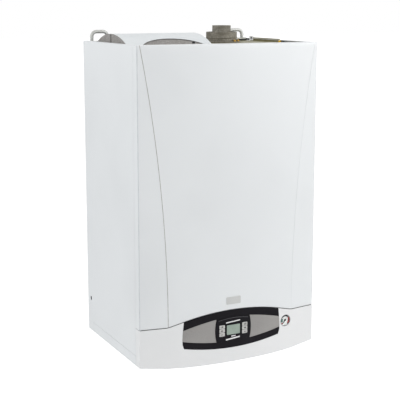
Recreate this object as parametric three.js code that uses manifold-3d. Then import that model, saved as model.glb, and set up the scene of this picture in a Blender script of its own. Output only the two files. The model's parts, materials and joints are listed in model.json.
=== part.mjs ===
// Wall-hung combi boiler with a built-in storage tank, in millimetres.
// X runs to the right, Y into the wall and Z up. The pieces are laid out in the casing's own
// coordinates: X = 0 on the centre line, Y = 0 at the side panels' rear edges, Z = 0 at their feet.
import * as THREE from "three";
import { mergeVertices } from "three/addons/utils/BufferGeometryUtils.js";
import Module from "manifold-3d";

const wasm = await Module();
wasm.setup();

// ---- Driving dimensions ------------------------------------------------------------------------

// Casing
const casingWidth = 600;
const casingHeight = 950;
const panelDepth = 404; // side panel, rear edge to front edge
const wallStandoff = 8; // wall to the side panels' rear edges
const sheet = 1.2; // casing steel
const fit = 0.3; // clearance between neighbouring pieces
const coverGap = 0.8; // side panels to the two front covers
const seamGap = 1.8; // front panel to fascia
const skirtHeight = 31; // lower strip that belongs to the bottom tray
const skirtRear = 46; // rear end of that strip
const sideFlange = 14; // turned-in edges of the side panels

// Front covers
const returnDepth = 28; // side return, gap to fold
const facetSlope = 0.153; // flat facets, depth gained per width
const bowDepth = 26; // bow's apex ahead of the folds
const facetFoot = 87.5; // facet width at the seam
const facetHead = 9; // facet width at the top
const seamEdge = 117; // seam height at the folds
const seamFlat = 87.5; // level stretch of the seam at each end
const seamArchHalf = 165; // half-width of the seam's arch
const seamApex = 149;
const seamRadius = 690;
const fasciaDroop = 16; // lower edge below the folds' feet
const fasciaWall = 2.5; // moulded plastic
const panelLip = 12; // turned-in rear edge of the front panel

// Hooks and hinges of the front covers
const lugX = 180;
const lugWidth = 40;
const lugReach = 3.4; // hook's upturn ahead of the rail
const tiltPivotDepth = 6; // pivot behind the side panels' front edges
const tiltPivotDrop = 1; // pivot below the casing's foot
const tiltPinRadius = 3;
const tiltLugX = 232;

// Trim, wings and control unit
const trimHalf = 163;
const trimBulge = 5;
const trimBottom = 29.5;
const trimBottomRise = 16;
const wingDepth = 1.5;
const wingOuterLow = 68.5;
const wingOuterHigh = 102;
const wingInnerLow = 52;
const wingInnerHigh = 124;
const wingCrown = 2;
const unitHalf = 55;
const unitBulge = 5;
const unitLow = 50;
const unitHigh = 126;
const unitCrown = 6;
const unitProud = 1.2;
const unitDepth = 22;
const wingToUnit = 2;
const displayHalf = 22.5;
const displayLow = 71.3;
const displayHigh = 101.5;
const displayDepth = 1.5;
const keyInner = 30;
const keyWidth = 18;
const keyLow = 69;
const keyHeight = 10.8;
const keyPitch = 12;
const keyRows = 3;
const keyProud = 1;
const keyDepth = 4.2;
const keyTravel = 1;

// Pressure gauge
const gaugeOffset = 28.5; // beyond the trim's edge
const gaugeHeight = 84;
const gaugeRadius = 18.5;
const gaugeWall = 1.2;
const gaugeDepth = 20;
const gaugeBead = 2.6;
const dialRear = -3.7; // from the fascia's surface
const dialThickness = 0.8;
const needlePin = 0.8; // radius
const needleHub = 2.2;
const needleLength = 13.5;
const needleRest = 135; // degrees, needle to the lower left

// Control box and board
const boxHalf = 168;
const boxLow = 12;
const boxHigh = 106;
const boxRear = 350;
const boxFront = 430;
const boxWall = 2;
const boardHalf = 150;
const boardThickness = 1.6;

// Rear frame and hanging loops
const ribDepth = 3.5;
const frameFlange = 18; // turned forward along the side panels
const railHeight = 40;
const hangingLine = 915; // centre of the upper rail
const lowerRail = 80;
const uprightX = 240;
const uprightWidth = 36;
const shelfDepth = 90;
const shelfSheet = 2;
const loopRod = 5.5; // radius
const loopOuter = 28; // leg centre inside the casing's side
const loopWidth = 53;
const loopRise = 33; // top of the loop above the casing
const loopBend = 15;
const loopLeg = 60; // leg length below the casing's top

// Tank, jacket and cover
const tankGap = 20; // jacket to the casing's side
const jacketWidth = 278;
const jacketFoot = 176.3;
const jacketDepth = 280;
const tankAxisY = -190;
const tankRadius = 128;
const tankDome = 40;
const tankWall = 2;
const jacketFloor = 12;
const tankNeck = 40;
const coverRise = 26; // cover's crown above the casing
const coverRadius = 267;
const coverWall = 2.5;
const coverSkirt = 35; // skirt's foot below the casing's top
const archHalf = 107;
const archShift = 12; // arch centre to the right of the tank's
const archRise = 26;
const archFoot = 14; // arch's foot below the casing's top

// Sealed chamber and flue
const tankToChamber = 8;
const chamberRightGap = 8;
const chamberHeight = 512;
const chamberHeadDrop = 8; // chamber's top below the casing's
const chamberFront = 340;
const chamberRear = 12;
const chamberLip = 12;
const sightRadius = 14;
const sightRise = 115; // above the chamber's foot
const flueY = -128;
const collarRadius = 50;
const collarTop = 25.5; // above the casing's top
const collarWall = 4;
const collarFlange = 12; // beyond the collar's wall
const collarPlate = 3;
const collarBead = 1.4; // proud of the wall, 7 above the casing's top
const spigotRadius = 30;
const spigotWall = 2;
const spigotTop = 46;

// Burner, exchanger and fan
const burnerRise = 48; // above the chamber's foot
const rampCount = 8;
const rampWidth = 10;
const fireWall = 14;
const fireMargin = 31; // fire walls to the chamber's sides
const fireHeight = 142;
const finHeight = 70;
const finCount = 9;
const finThickness = 1.6;
const waterTube = 9;
const hoodToFan = 11.8;
const fanShift = 24; // to the right of the chamber's middle
const fanDrop = 104; // below the chamber's top
const fanWidth = 56;
const scrollStart = 60;
const scrollGrowth = 15;
const wheelRadius = 52;
const wheelInner = 40;
const bladeCount = 12;
const eyeRadius = 32;
const shaftRadius = 3;

// Water, gas and their stubs
const stubY = -110;
const stubFoot = -30;
const stubBore = 25; // depth of the open end
const wideTube = 11;
const narrowTube = 7.5;
const tubeWall = 1.6;
const hotShift = 11; // to the right of the tank's axis
const coldShift = 76;
const gasX = 15;
const flowX = 80;
const returnX = 145;
const riserInset = 16; // riser to the chamber's side
const gasFeedInset = 77; // gas feed to the chamber's right side
const pumpZ = 120;
const pumpRadius = 46;
const vesselX = 150;
const vesselDrop = 130; // below the chamber's foot
const vesselRadius = 118;
const vesselDepth = 80;

// ---- Sizes that follow -------------------------------------------------------------------------

const halfWidth = casingWidth / 2;
const innerHalf = halfWidth - sheet - fit;
const frontEdge = -panelDepth;
const coverRear = frontEdge - coverGap;
const foldY = frontEdge - returnDepth;
const apexY = foldY - bowDepth;
const sheetFace = wallStandoff - ribDepth - sheet; // rear frame's inner face
const full = Math.PI * 2;

// ---- Solids ------------------------------------------------------------------------------------

const grid = 1000;
const point = (x, y, z) => new THREE.Vector3(x, y, z);

// Sets the corners of a fresh shape to a thousandth, so that faces meant to lie in one plane do.
function setToGrid(geometry) {
  const places = geometry.attributes.position.array;
  places.forEach((value, i) => {
    places[i] = Math.round(value * grid) / grid;
  });
}

// A closed manifold from a geometry: corners merged, collapsed triangles left out.
function manifoldOf(geometry) {
  const bare = geometry.clone();
  bare.deleteAttribute("normal");
  bare.deleteAttribute("uv");
  if (!geometry.userData.combined) setToGrid(bare);
  const merged = mergeVertices(bare, 1e-4);
  const index = merged.index.array;
  const triangles = [];
  for (let i = 0; i < index.length; i += 3) {
    const [a, b, c] = [index[i], index[i + 1], index[i + 2]];
    if (a !== b && b !== c && c !== a) triangles.push(a, b, c);
  }
  return new wasm.Manifold(
    new wasm.Mesh({
      numProp: 3,
      vertProperties: Float32Array.from(merged.attributes.position.array),
      triVerts: Uint32Array.from(triangles),
    }),
  );
}

function geometryOf(manifold) {
  const mesh = manifold.getMesh();
  const geometry = new THREE.BufferGeometry();
  geometry.setAttribute("position", new THREE.Float32BufferAttribute(mesh.vertProperties, 3));
  geometry.setIndex(new THREE.Uint32BufferAttribute(mesh.triVerts, 1));
  geometry.userData.combined = true;
  return geometry;
}

const fold = (operation) => (first, ...rest) =>
  geometryOf(rest.reduce((sum, next) => sum[operation](manifoldOf(next)), manifoldOf(first)));
const join = fold("add");
const cut = fold("subtract");
const common = fold("intersect");

function box(x0, x1, y0, y1, z0, z1) {
  const geometry = new THREE.BoxGeometry(x1 - x0, y1 - y0, z1 - z0);
  return geometry.translate((x0 + x1) / 2, (y0 + y1) / 2, (z0 + z1) / 2);
}

// The same box on the right (side = 1) or mirrored to the left (side = -1).
function sideBox(side, x0, x1, y0, y1, z0, z1) {
  return side > 0 ? box(x0, x1, y0, y1, z0, z1) : box(-x1, -x0, y0, y1, z0, z1);
}

function rod(radius, from, to, sides = 12) {
  const along = to.clone().sub(from);
  const geometry = new THREE.CylinderGeometry(radius, radius, along.length(), sides);
  const turn = new THREE.Quaternion().setFromUnitVectors(point(0, 1, 0), along.normalize());
  geometry.applyQuaternion(turn);
  return geometry.translate(...from.clone().add(to).multiplyScalar(0.5));
}

// Rods along one axis, between two places on it.
const rodX = (radius, x0, x1, y, z, sides) => rod(radius, point(x0, y, z), point(x1, y, z), sides);
const rodY = (radius, y0, y1, x, z, sides) => rod(radius, point(x, y0, z), point(x, y1, z), sides);
const rodZ = (radius, z0, z1, x, y, sides) => rod(radius, point(x, y, z0), point(x, y, z1), sides);

const outline = (points) => new THREE.Shape(points.map(([u, v]) => new THREE.Vector2(u, v)));

function circlePoints(radius, sides) {
  const points = [];
  for (let i = 0; i < sides; i++) {
    const angle = (full * i) / sides;
    points.push([radius * Math.cos(angle), radius * Math.sin(angle)]);
  }
  return points;
}

// A rectangle with rounded corners, each of two chords.
function roundedOutline(u0, u1, v0, v1, radius) {
  const corners = [[u1, v1, 0], [u0, v1, 1], [u0, v0, 2], [u1, v0, 3]];
  const steps = 2;
  const points = [];
  for (const [u, v, quarter] of corners) {
    const cu = u - Math.sign(u - u0 - 1e-9) * radius;
    const cv = v - Math.sign(v - v0 - 1e-9) * radius;
    for (let i = 0; i <= steps; i++) {
      const angle = ((quarter + i / steps) * Math.PI) / 2;
      points.push([cu + radius * Math.cos(angle), cv + radius * Math.sin(angle)]);
    }
  }
  return outline(points);
}

const extruded = (shape, depth) => new THREE.ExtrudeGeometry(shape, { depth, bevelEnabled: false });

// A plan shape (x, y) raised along Z.
const alongZ = (shape, z0, z1) => extruded(shape, z1 - z0).translate(0, 0, z0);

// An elevation shape (x, z) pushed along Y.
const alongY = (shape, y0, y1) => extruded(shape, y1 - y0).rotateX(Math.PI / 2).translate(0, y1, 0);

// A section shape (y, z) pushed along X.
function alongX(shape, x0, x1) {
  const turn = new THREE.Matrix4().makeBasis(point(0, 1, 0), point(0, 0, 1), point(1, 0, 0));
  return extruded(shape, x1 - x0).applyMatrix4(turn).translate(x0, 0, 0);
}

// A solid turned about Z from [radius, height] pairs, listed from the foot up and back down the bore.
function turned(profile, sides = 24) {
  const points = profile.map(([radius, height]) => new THREE.Vector2(radius, height));
  return new THREE.LatheGeometry(points, sides).rotateX(Math.PI / 2);
}

const ring = (inner, outer, z0, z1, sides) =>
  turned([[inner, z0], [outer, z0], [outer, z1], [inner, z1], [inner, z0]], sides);

// Turns a solid's +Z to the front, -Y.
const faceFront = (geometry) => geometry.rotateX(Math.PI / 2);

// A run of straight stretches with rounded corners, one step for each straight.
class BentRun extends THREE.Curve {
  constructor(corners, bend, chords = 4) {
    super();
    this.places = [corners[0]];
    this.headings = [corners[1].clone().sub(corners[0]).normalize()];
    for (let i = 1; i < corners.length - 1; i++) {
      const before = corners[i].clone().sub(corners[i - 1]).normalize();
      const after = corners[i + 1].clone().sub(corners[i]).normalize();
      const centre = corners[i].clone().addScaledVector(before, -bend).addScaledVector(after, bend);
      for (let k = 0; k <= chords; k++) {
        const angle = ((k / chords) * Math.PI) / 2;
        const outward = after.clone().multiplyScalar(-Math.cos(angle));
        outward.addScaledVector(before, Math.sin(angle));
        this.places.push(centre.clone().addScaledVector(outward, bend));
        const heading = before.clone().multiplyScalar(Math.cos(angle));
        this.headings.push(heading.addScaledVector(after, Math.sin(angle)));
      }
    }
    this.places.push(corners.at(-1));
    this.headings.push(corners.at(-1).clone().sub(corners.at(-2)).normalize());
    this.steps = this.places.length - 1;
  }
  getPoint(t) {
    return this.places[Math.round(t * this.steps)].clone();
  }
  getPointAt(t) {
    return this.getPoint(t);
  }
  getTangentAt(t) {
    return this.headings[Math.round(t * this.steps)].clone();
  }
}

function pipe(corners, radius, bend, sides = 12) {
  const run = new BentRun(corners, bend);
  return new THREE.ExtrudeGeometry(outline(circlePoints(radius, sides)), {
    steps: run.steps,
    extrudePath: run,
    bevelEnabled: false,
  });
}

// ---- The front's shared surface ----------------------------------------------------------------

// Half-width of the bowed centre: the creases spread upwards from the seam.
function creaseHalf(z) {
  const foot = halfWidth - facetFoot;
  const head = halfWidth - facetHead;
  const rise = Math.max(0, (z - seamEdge) / (casingHeight - seamEdge));
  return foot + (head - foot) * rise ** 2;
}

const facetY = (x) => foldY - facetSlope * (halfWidth - Math.abs(x));

function frontY(x, crease) {
  if (Math.abs(x) >= crease) return facetY(x);
  return apexY + (facetY(crease) - apexY) * (x / crease) ** 2;
}

const fasciaY = (x) => frontY(x, creaseHalf(seamEdge));
const fasciaSlope = (x) => (fasciaY(x + 1) - fasciaY(x - 1)) / 2;

// Height of the seam: level at both ends, a straight rise, and an arch between.
function seamZ(x) {
  const shoulder = seamApex - seamRadius + Math.sqrt(seamRadius ** 2 - seamArchHalf ** 2);
  const away = Math.abs(x);
  if (away <= seamArchHalf) return seamApex - seamRadius + Math.sqrt(seamRadius ** 2 - x ** 2);
  const rise = (halfWidth - seamFlat - away) / (halfWidth - seamFlat - seamArchHalf);
  return seamEdge + (shoulder - seamEdge) * Math.max(0, rise);
}

const fasciaFoot = (x) => -fasciaDroop * (1 - Math.abs(x / halfWidth) ** 3);

const span = (from, to, steps) =>
  Array.from({ length: steps + 1 }, (_, i) => from + ((to - from) * i) / steps);

// Places across the front from edge to edge: the bends of surface and seam, and even steps between.
function stations(half) {
  const bends = [halfWidth - facetFoot, halfWidth - seamFlat].filter((x) => x < half);
  const marks = [...bends, half].flatMap((x) => [-x, x]);
  const places = [...marks, ...span(-seamArchHalf, seamArchHalf, 12)].sort((a, b) => a - b);
  return places.filter((x, i) => i === 0 || x - places[i - 1] > 1);
}

// A block whose face is the front surface moved inwards by inset, from the seam to the casing's top.
function panelBlock(inset, rear) {
  const centre = span(-1, 1, 14).map((share) => ({ share }));
  const columns = [{ edge: -1 }, ...centre, { edge: 1 }];
  const rows = span(0, 1, 6);
  const top = casingHeight - inset;
  const faces = [];
  const backs = [];
  for (const { edge, share } of columns) {
    for (const row of rows) {
      let z = seamEdge + (top - seamEdge) * row;
      let x = 0;
      for (let pass = 0; pass < 5; pass++) {
        x = edge ? edge * (halfWidth - inset) : share * creaseHalf(z);
        const foot = seamZ(x) + seamGap / 2 + inset;
        z = foot + (top - foot) * row;
      }
      faces.push(x, frontY(x, creaseHalf(z)) + inset, z);
      backs.push(x, rear, z);
    }
  }
  const across = columns.length - 1;
  const up = rows.length - 1;
  const face = (i, j) => i * (up + 1) + j;
  const back = (i, j) => face(i, j) + faces.length / 3;
  const index = [];
  const quad = (a, b, c, d) => index.push(a, b, c, a, c, d);
  for (let i = 0; i < across; i++) {
    for (let j = 0; j < up; j++) {
      quad(face(i, j), face(i + 1, j), face(i + 1, j + 1), face(i, j + 1));
      quad(back(i, j), back(i, j + 1), back(i + 1, j + 1), back(i + 1, j));
    }
    quad(face(i, 0), back(i, 0), back(i + 1, 0), face(i + 1, 0));
    quad(face(i, up), face(i + 1, up), back(i + 1, up), back(i, up));
  }
  for (let j = 0; j < up; j++) {
    quad(face(0, j), face(0, j + 1), back(0, j + 1), back(0, j));
    quad(face(across, j), back(across, j), back(across, j + 1), face(across, j + 1));
  }
  const geometry = new THREE.BufferGeometry();
  geometry.setAttribute("position", new THREE.Float32BufferAttribute([...faces, ...backs], 3));
  geometry.setIndex(index);
  return geometry;
}

// Everything between two depths behind the fascia's surface, over the fascia's whole height.
function fasciaBand(near, far) {
  const xs = stations(halfWidth + 1);
  const front = xs.map((x) => [x, fasciaY(x) + near]);
  const rear = xs.map((x) => [x, fasciaY(x) + far]).reverse();
  return alongZ(outline([...front, ...rear]), -fasciaDroop - 10, seamApex + 10);
}

// Everything from a depth behind the fascia's surface back to a plane.
function fasciaCore(near, rear, half) {
  const xs = stations(half);
  const front = xs.map((x) => [x, fasciaY(x) + near]);
  return alongZ(outline([...front, [half, rear], [-half, rear]]), -fasciaDroop - 10, seamApex + 10);
}

// An elevation prism that passes right through the fascia.
const throughFascia = (shape) => alongY(shape, apexY - 20, frontEdge + 60);

// ---- Casing ------------------------------------------------------------------------------------

// A rail or upright pressed out of the rear sheet: a hat section, hollow on the casing's side.
function pressing(x0, x1, z0, z1) {
  const hat = (inset, y0, y1) => taper(x0 + inset, x1 - inset, z0 + inset, z1 - inset, y0, y1);
  return {
    outside: hat(0, sheetFace + sheet - fit, wallStandoff),
    inside: hat(sheet, sheetFace - 1, wallStandoff - sheet),
  };
}

// A block that narrows towards the wall, on each side by a rib's depth.
function taper(x0, x1, z0, z1, y0, y1) {
  const near = [[x0, z0], [x1, z0], [x1, z1], [x0, z1]];
  const far = [
    [x0 + ribDepth, z0 + ribDepth],
    [x1 - ribDepth, z0 + ribDepth],
    [x1 - ribDepth, z1 - ribDepth],
    [x0 + ribDepth, z1 - ribDepth],
  ];
  const corners = [...near.map(([x, z]) => [x, y0, z]), ...far.map(([x, z]) => [x, y1, z])];
  const geometry = new THREE.BufferGeometry();
  geometry.setAttribute("position", new THREE.Float32BufferAttribute(corners.flat(), 3));
  const index = [0, 1, 2, 0, 2, 3, 4, 6, 5, 4, 7, 6];
  for (let i = 0; i < 4; i++) {
    const next = (i + 1) % 4;
    index.push(i, i + 4, next + 4, i, next + 4, next);
  }
  geometry.setIndex(index);
  return geometry;
}

const tankLeft = -halfWidth + tankGap;
const tankRight = tankLeft + jacketWidth;
const tankAxisX = (tankLeft + tankRight) / 2;
const hotX = tankAxisX + hotShift;
const coldX = tankAxisX + coldShift;
const chamberLeft = tankRight + tankToChamber;
const chamberRight = halfWidth - chamberRightGap;
const chamberHead = casingHeight - chamberHeadDrop;
const chamberFoot = chamberHead - chamberHeight;
const tankShelfTop = jacketFoot - fit;
const chamberShelfTop = chamberFoot - fit;
const trayFloor = 6;
const frameHead = casingHeight - sheet - fit;
const frameFoot = trayFloor + sheet + fit;

function shelf(x0, x1, top) {
  const rear = sheetFace + fit;
  const plate = box(x0, x1, -shelfDepth, rear, top - shelfSheet, top);
  const gusset = outline([[rear, top - 1], [-shelfDepth + 8, top - 1], [rear, top - 56]]);
  const gussets = [x0, x1 - shelfSheet].map((x) => alongX(gusset, x, x + shelfSheet));
  return join(plate, ...gussets);
}

function rearFrame() {
  const edge = innerHalf - sheet;
  const block = box(-innerHalf, innerHalf, -frameFlange, sheetFace + sheet, frameFoot, frameHead);
  const room = box(-edge, edge, -frameFlange - 1, sheetFace, frameFoot + sheet, frameHead + 1);
  const half = railHeight / 2;
  const railHalf = innerHalf - 14;
  const ribs = [
    pressing(-railHalf, railHalf, hangingLine - half, hangingLine + half),
    pressing(-railHalf, railHalf, lowerRail - half, lowerRail + half),
    ...[-uprightX, 0, uprightX].map((x) =>
      pressing(x - uprightWidth / 2, x + uprightWidth / 2, lowerRail, hangingLine),
    ),
  ];
  const body = join(cut(block, room), ...ribs.map((rib) => rib.outside));
  const pressed = cut(body, ...ribs.map((rib) => rib.inside));
  const tankShelf = shelf(tankLeft, tankRight - 4, tankShelfTop);
  const chamberShelf = shelf(chamberLeft + 2, chamberRight - 2, chamberShelfTop);
  return join(pressed, tankShelf, chamberShelf);
}

// A loop of bent rod, welded by its two legs to the rear sheet's inner face.
function hangingLoop(side) {
  const y = sheetFace - fit - loopRod;
  const outer = side * (halfWidth - loopOuter);
  const inner = outer - side * loopWidth;
  const top = casingHeight + loopRise - loopRod;
  const foot = casingHeight - loopLeg;
  const corners = [[outer, foot], [outer, top], [inner, top], [inner, foot]];
  return pipe(corners.map(([x, z]) => point(x, y, z)), loopRod, loopBend, 12);
}

const slotY = -27;
const slotZ = 110;
const slotHalfWidth = 5;
const slotHalfHeight = 6.5;
const slotToPin = 17; // small hole below the slot
const flangeHoles = [25, 53]; // behind the front edge

function sidePanel(side) {
  const inside = halfWidth - sheet;
  const flange = halfWidth - sideFlange;
  const skin = sideBox(side, inside, halfWidth, frontEdge, 0, 0, casingHeight);
  const head = sideBox(side, flange, halfWidth, frontEdge, 0, casingHeight - sheet, casingHeight);
  const lip = sideBox(side, flange, halfWidth, frontEdge, frontEdge + sheet, skirtHeight, casingHeight);
  const notch = sideBox(side, 0, halfWidth + 1, frontEdge - 1, -skirtRear, -1, skirtHeight);
  const slot = sideBox(
    side, inside - 1, halfWidth + 1,
    slotY - slotHalfWidth, slotY + slotHalfWidth, slotZ - slotHalfHeight, slotZ + slotHalfHeight,
  );
  const screwX = side * (halfWidth - sideFlange / 2);
  const holes = flangeHoles.map((back) =>
    rodZ(2, casingHeight - 5, casingHeight + 1, screwX, frontEdge + back, 8),
  );
  const pinHole = rodX(1.5, side * (inside - 1), side * (halfWidth + 1), slotY, slotZ - slotToPin, 8);
  return cut(join(skin, head, lip), notch, slot, pinHole, ...holes);
}

const railFront = frontEdge + sheet + fit; // front cross rail, behind the side panels' lips
const tiltY = frontEdge + tiltPivotDepth;
const tiltZ = -tiltPivotDrop;
const earX = tiltLugX - 6.5;
const earHalf = 1.5;

function bottomTray() {
  const rear = -skirtRear - coverGap;
  const front = frontEdge + 0.5;
  const inside = halfWidth - sheet;
  const floor = box(-innerHalf, innerHalf, front + 2.5, sheetFace + sheet, trayFloor, trayFloor + sheet);
  const wings = [-1, 1].map((side) =>
    sideBox(side, innerHalf - 1, halfWidth, front, rear, trayFloor, trayFloor + sheet),
  );
  const skirts = [-1, 1].map((side) =>
    sideBox(side, inside, halfWidth, front, rear, 0, skirtHeight - coverGap),
  );
  const lip = box(-innerHalf, innerHalf, front + 2.5, front + 2.5 + sheet, trayFloor, trayFloor + 4);
  const earRadius = tiltPinRadius + 4;
  const ears = [-1, 1].map((side) => {
    const disc = rodX(earRadius, side * (earX - earHalf), side * (earX + earHalf), tiltY, tiltZ, 12);
    const stem = sideBox(
      side, earX - earHalf, earX + earHalf, tiltY - earRadius, tiltY + earRadius,
      tiltZ, trayFloor + sheet / 2,
    );
    return join(disc, stem);
  });
  const earHoles = [-1, 1].map((side) =>
    rodX(tiltPinRadius + fit, side * (earX - 3), side * (earX + 3), tiltY, tiltZ, 12),
  );
  const pipeHoles = [hotX, coldX, gasX, flowX, returnX].map((x) =>
    rodZ(wideTube + 3, trayFloor - 1, trayFloor + 3, x, stubY),
  );
  const body = join(floor, ...wings, ...skirts, lip, ...ears);
  return cut(body, ...earHoles, ...pipeHoles);
}

const railHead = casingHeight - sheet - 3.6; // top of the rail's flange, under the side panels' flanges
const railDrop = 45; // rail's foot below the casing's top
const railFlange = 26;

function frontRail() {
  const half = innerHalf - 0.5;
  const web = box(-half, half, railFront, railFront + sheet, casingHeight - railDrop, railHead);
  const flange = box(-half, half, railFront, railFront + railFlange, railHead - sheet, railHead);
  const hookFront = coverRear - sheet - lugReach + 1;
  const hooks = [-lugX, lugX].map((x) => {
    const [left, right] = [x - lugWidth / 2, x + lugWidth / 2];
    return join(
      box(left, right, hookFront, railFront + sheet, railHead - sheet, railHead),
      box(left, right, hookFront, hookFront + sheet, railHead - sheet, casingHeight - fit),
    );
  });
  return join(web, flange, ...hooks);
}

// The front panel: a pan of sheet steel with a turned-in rear edge, hung on the rail's two hooks.
function frontPanel() {
  const shell = panelBlock(0, coverRear);
  const cavity = panelBlock(sheet, coverRear - sheet);
  const mouth = panelBlock(panelLip, coverRear + 1);
  const hookFront = coverRear - sheet - lugReach + 1;
  const slots = [-lugX, lugX].flatMap((x) => {
    const reach = lugWidth / 2 + 2;
    return [
      box(x - reach, x + reach, hookFront - 1.6, coverRear - sheet - 0.2, railHead, casingHeight + 1),
      box(x - reach, x + reach, coverRear - sheet - 1, coverRear + 1, railHead - 8, casingHeight - sheet),
    ];
  });
  return cut(shell, cavity, mouth, ...slots);
}

// ---- Fascia, trim and control unit -------------------------------------------------------------

const trimMiddle = (seamEdge + trimBottom) / 2;
const fasciaHead = (x) => seamZ(x) - seamGap / 2;

function trimSide(z) {
  const reach = (seamEdge - trimBottom) / 2 + 8;
  return trimHalf + trimBulge * (1 - Math.min(1, Math.abs(z - trimMiddle) / reach) ** 2);
}

const trimFoot = (x) => trimBottom + trimBottomRise * (x / trimHalf) ** 2;

function trimOutline(grow, raise) {
  const top = span(-trimHalf - grow, trimHalf + grow, 14).map((x) => [x, fasciaHead(x) + raise]);
  const foot = span(trimHalf + grow, -trimHalf - grow, 10).map((x) => [x, trimFoot(x) - grow]);
  const edge = (side, from, to) =>
    span(from, to, 6).slice(1, -1).map((z) => [side * (trimSide(z) + grow), z]);
  const head = fasciaHead(trimHalf);
  const low = trimFoot(trimHalf);
  return outline([...top, ...edge(1, head, low), ...foot, ...edge(-1, low, head)]);
}

function unitSide(z) {
  const middle = (unitLow + unitHigh) / 2;
  const reach = (unitHigh - unitLow) / 2;
  return unitHalf + unitBulge * Math.max(0, 1 - ((z - middle) / reach) ** 2);
}

function unitOutline(grow) {
  const sag = (x) => unitCrown * (x / unitHalf) ** 2;
  const top = span(-unitHalf, unitHalf, 8).map((x) => [x, unitHigh - sag(x) + grow]);
  const foot = span(unitHalf, -unitHalf, 6).map((x) => [x, unitLow + sag(x) / 2 - grow]);
  const high = unitHigh - unitCrown;
  const low = unitLow + unitCrown / 2;
  const edge = (side, from, to) =>
    span(from, to, 8).slice(1, -1).map((z) => [side * (unitSide(z) + grow), z]);
  return outline([...top, ...edge(1, high, low), ...foot, ...edge(-1, low, high)]);
}

// A wing's outline, its outer edge flush with the trim's and its inner edge clear of the unit.
function wingOutline(side, grow) {
  const inner = (z) => unitSide(z) + wingToUnit - grow;
  const outer = (z) => trimSide(z) + (grow ? 3 : 0);
  const crown = (share) => wingCrown * 4 * share * (1 - share);
  const line = (from, to, sign) =>
    span(0, 1, 6).map((share) => {
      const x = inner(from) + (outer(to) - inner(from)) * share;
      return [x, from + (to - from) * share + sign * (crown(share) + grow)];
    });
  const top = line(wingInnerHigh, wingOuterHigh, 1);
  const foot = line(wingInnerLow, wingOuterLow, -1).reverse();
  const outerEdge = span(wingOuterHigh, wingOuterLow, 4).slice(1, -1).map((z) => [outer(z), z]);
  const innerEdge = span(wingInnerLow, wingInnerHigh, 6).slice(1, -1).map((z) => [inner(z), z]);
  const points = [...top, ...outerEdge, ...foot, ...innerEdge];
  return outline(points.map(([x, z]) => [side * x, z]));
}

const gaugeX = trimHalf + gaugeOffset;
const gaugeTurn = Math.atan(fasciaSlope(gaugeX));

function gaugeBore(radius) {
  const outward = point(Math.sin(gaugeTurn), -Math.cos(gaugeTurn), 0);
  const middle = point(gaugeX, fasciaY(gaugeX), gaugeHeight);
  const from = middle.clone().addScaledVector(outward, -30);
  return rod(radius, from, middle.clone().addScaledVector(outward, 20), 24);
}

function fasciaOutline(inset) {
  const xs = stations(halfWidth - inset);
  const top = xs.map((x) => [x, fasciaHead(x) - inset]);
  const foot = xs.map((x) => [x, fasciaFoot(x) + inset]).reverse();
  return outline([...top, ...foot]);
}

function fascia() {
  const block = common(fasciaCore(0, coverRear, halfWidth), throughFascia(fasciaOutline(0)));
  const hollow = common(
    fasciaCore(fasciaWall, coverRear + 5, halfWidth - fasciaWall),
    throughFascia(fasciaOutline(fasciaWall)),
  );
  const opening = common(throughFascia(trimOutline(fit, 6)), fasciaBand(-5, fasciaWall + fit));
  const lugFoot = fasciaFoot(tiltLugX) + 1;
  const lugs = [-1, 1].map((side) =>
    join(
      sideBox(side, tiltLugX - 2, tiltLugX + 2, foldY + 4, tiltY, lugFoot, tiltZ + 5),
      rodX(5.5, side * (tiltLugX - 2), side * (tiltLugX + 2), tiltY, tiltZ, 12),
      rodX(tiltPinRadius, side * (earX - 4), side * tiltLugX, tiltY, tiltZ, 10),
    ),
  );
  return join(cut(block, hollow, opening, gaugeBore(gaugeRadius + fit)), ...lugs);
}

function trimPanel() {
  const plate = common(throughFascia(trimOutline(0, 0)), fasciaBand(0, fasciaWall));
  const pockets = [-1, 1].map((side) =>
    common(throughFascia(wingOutline(side, fit)), fasciaBand(-5, wingDepth)),
  );
  return cut(plate, throughFascia(unitOutline(fit)), ...pockets);
}

const wing = (side) => common(throughFascia(wingOutline(side, 0)), fasciaBand(0, wingDepth - fit));

const keyLeft = (side) => (side > 0 ? keyInner : -keyInner - keyWidth);

function keyOutline(side, row, grow) {
  const x = keyLeft(side);
  const z = keyLow + row * keyPitch;
  return roundedOutline(x - grow, x + keyWidth + grow, z - grow, z + keyHeight + grow, 1.5);
}

const displayOutline = (grow) =>
  roundedOutline(-displayHalf - grow, displayHalf + grow, displayLow - grow, displayHigh + grow, 2);

const rows = [...Array(keyRows).keys()];

function unitBody() {
  const block = common(throughFascia(unitOutline(0)), fasciaBand(-unitProud, unitDepth));
  const display = common(throughFascia(displayOutline(fit)), fasciaBand(-5, displayDepth));
  const wells = [-1, 1].flatMap((side) =>
    rows.map((row) =>
      common(throughFascia(keyOutline(side, row, fit)), fasciaBand(-5, keyDepth + keyTravel + fit)),
    ),
  );
  return cut(block, display, ...wells);
}

const displayPanel = () =>
  common(throughFascia(displayOutline(0)), fasciaBand(-unitProud + fit, displayDepth - fit));

const key = (side, row) =>
  common(throughFascia(keyOutline(side, row, 0)), fasciaBand(-unitProud - keyProud, keyDepth));

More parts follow.
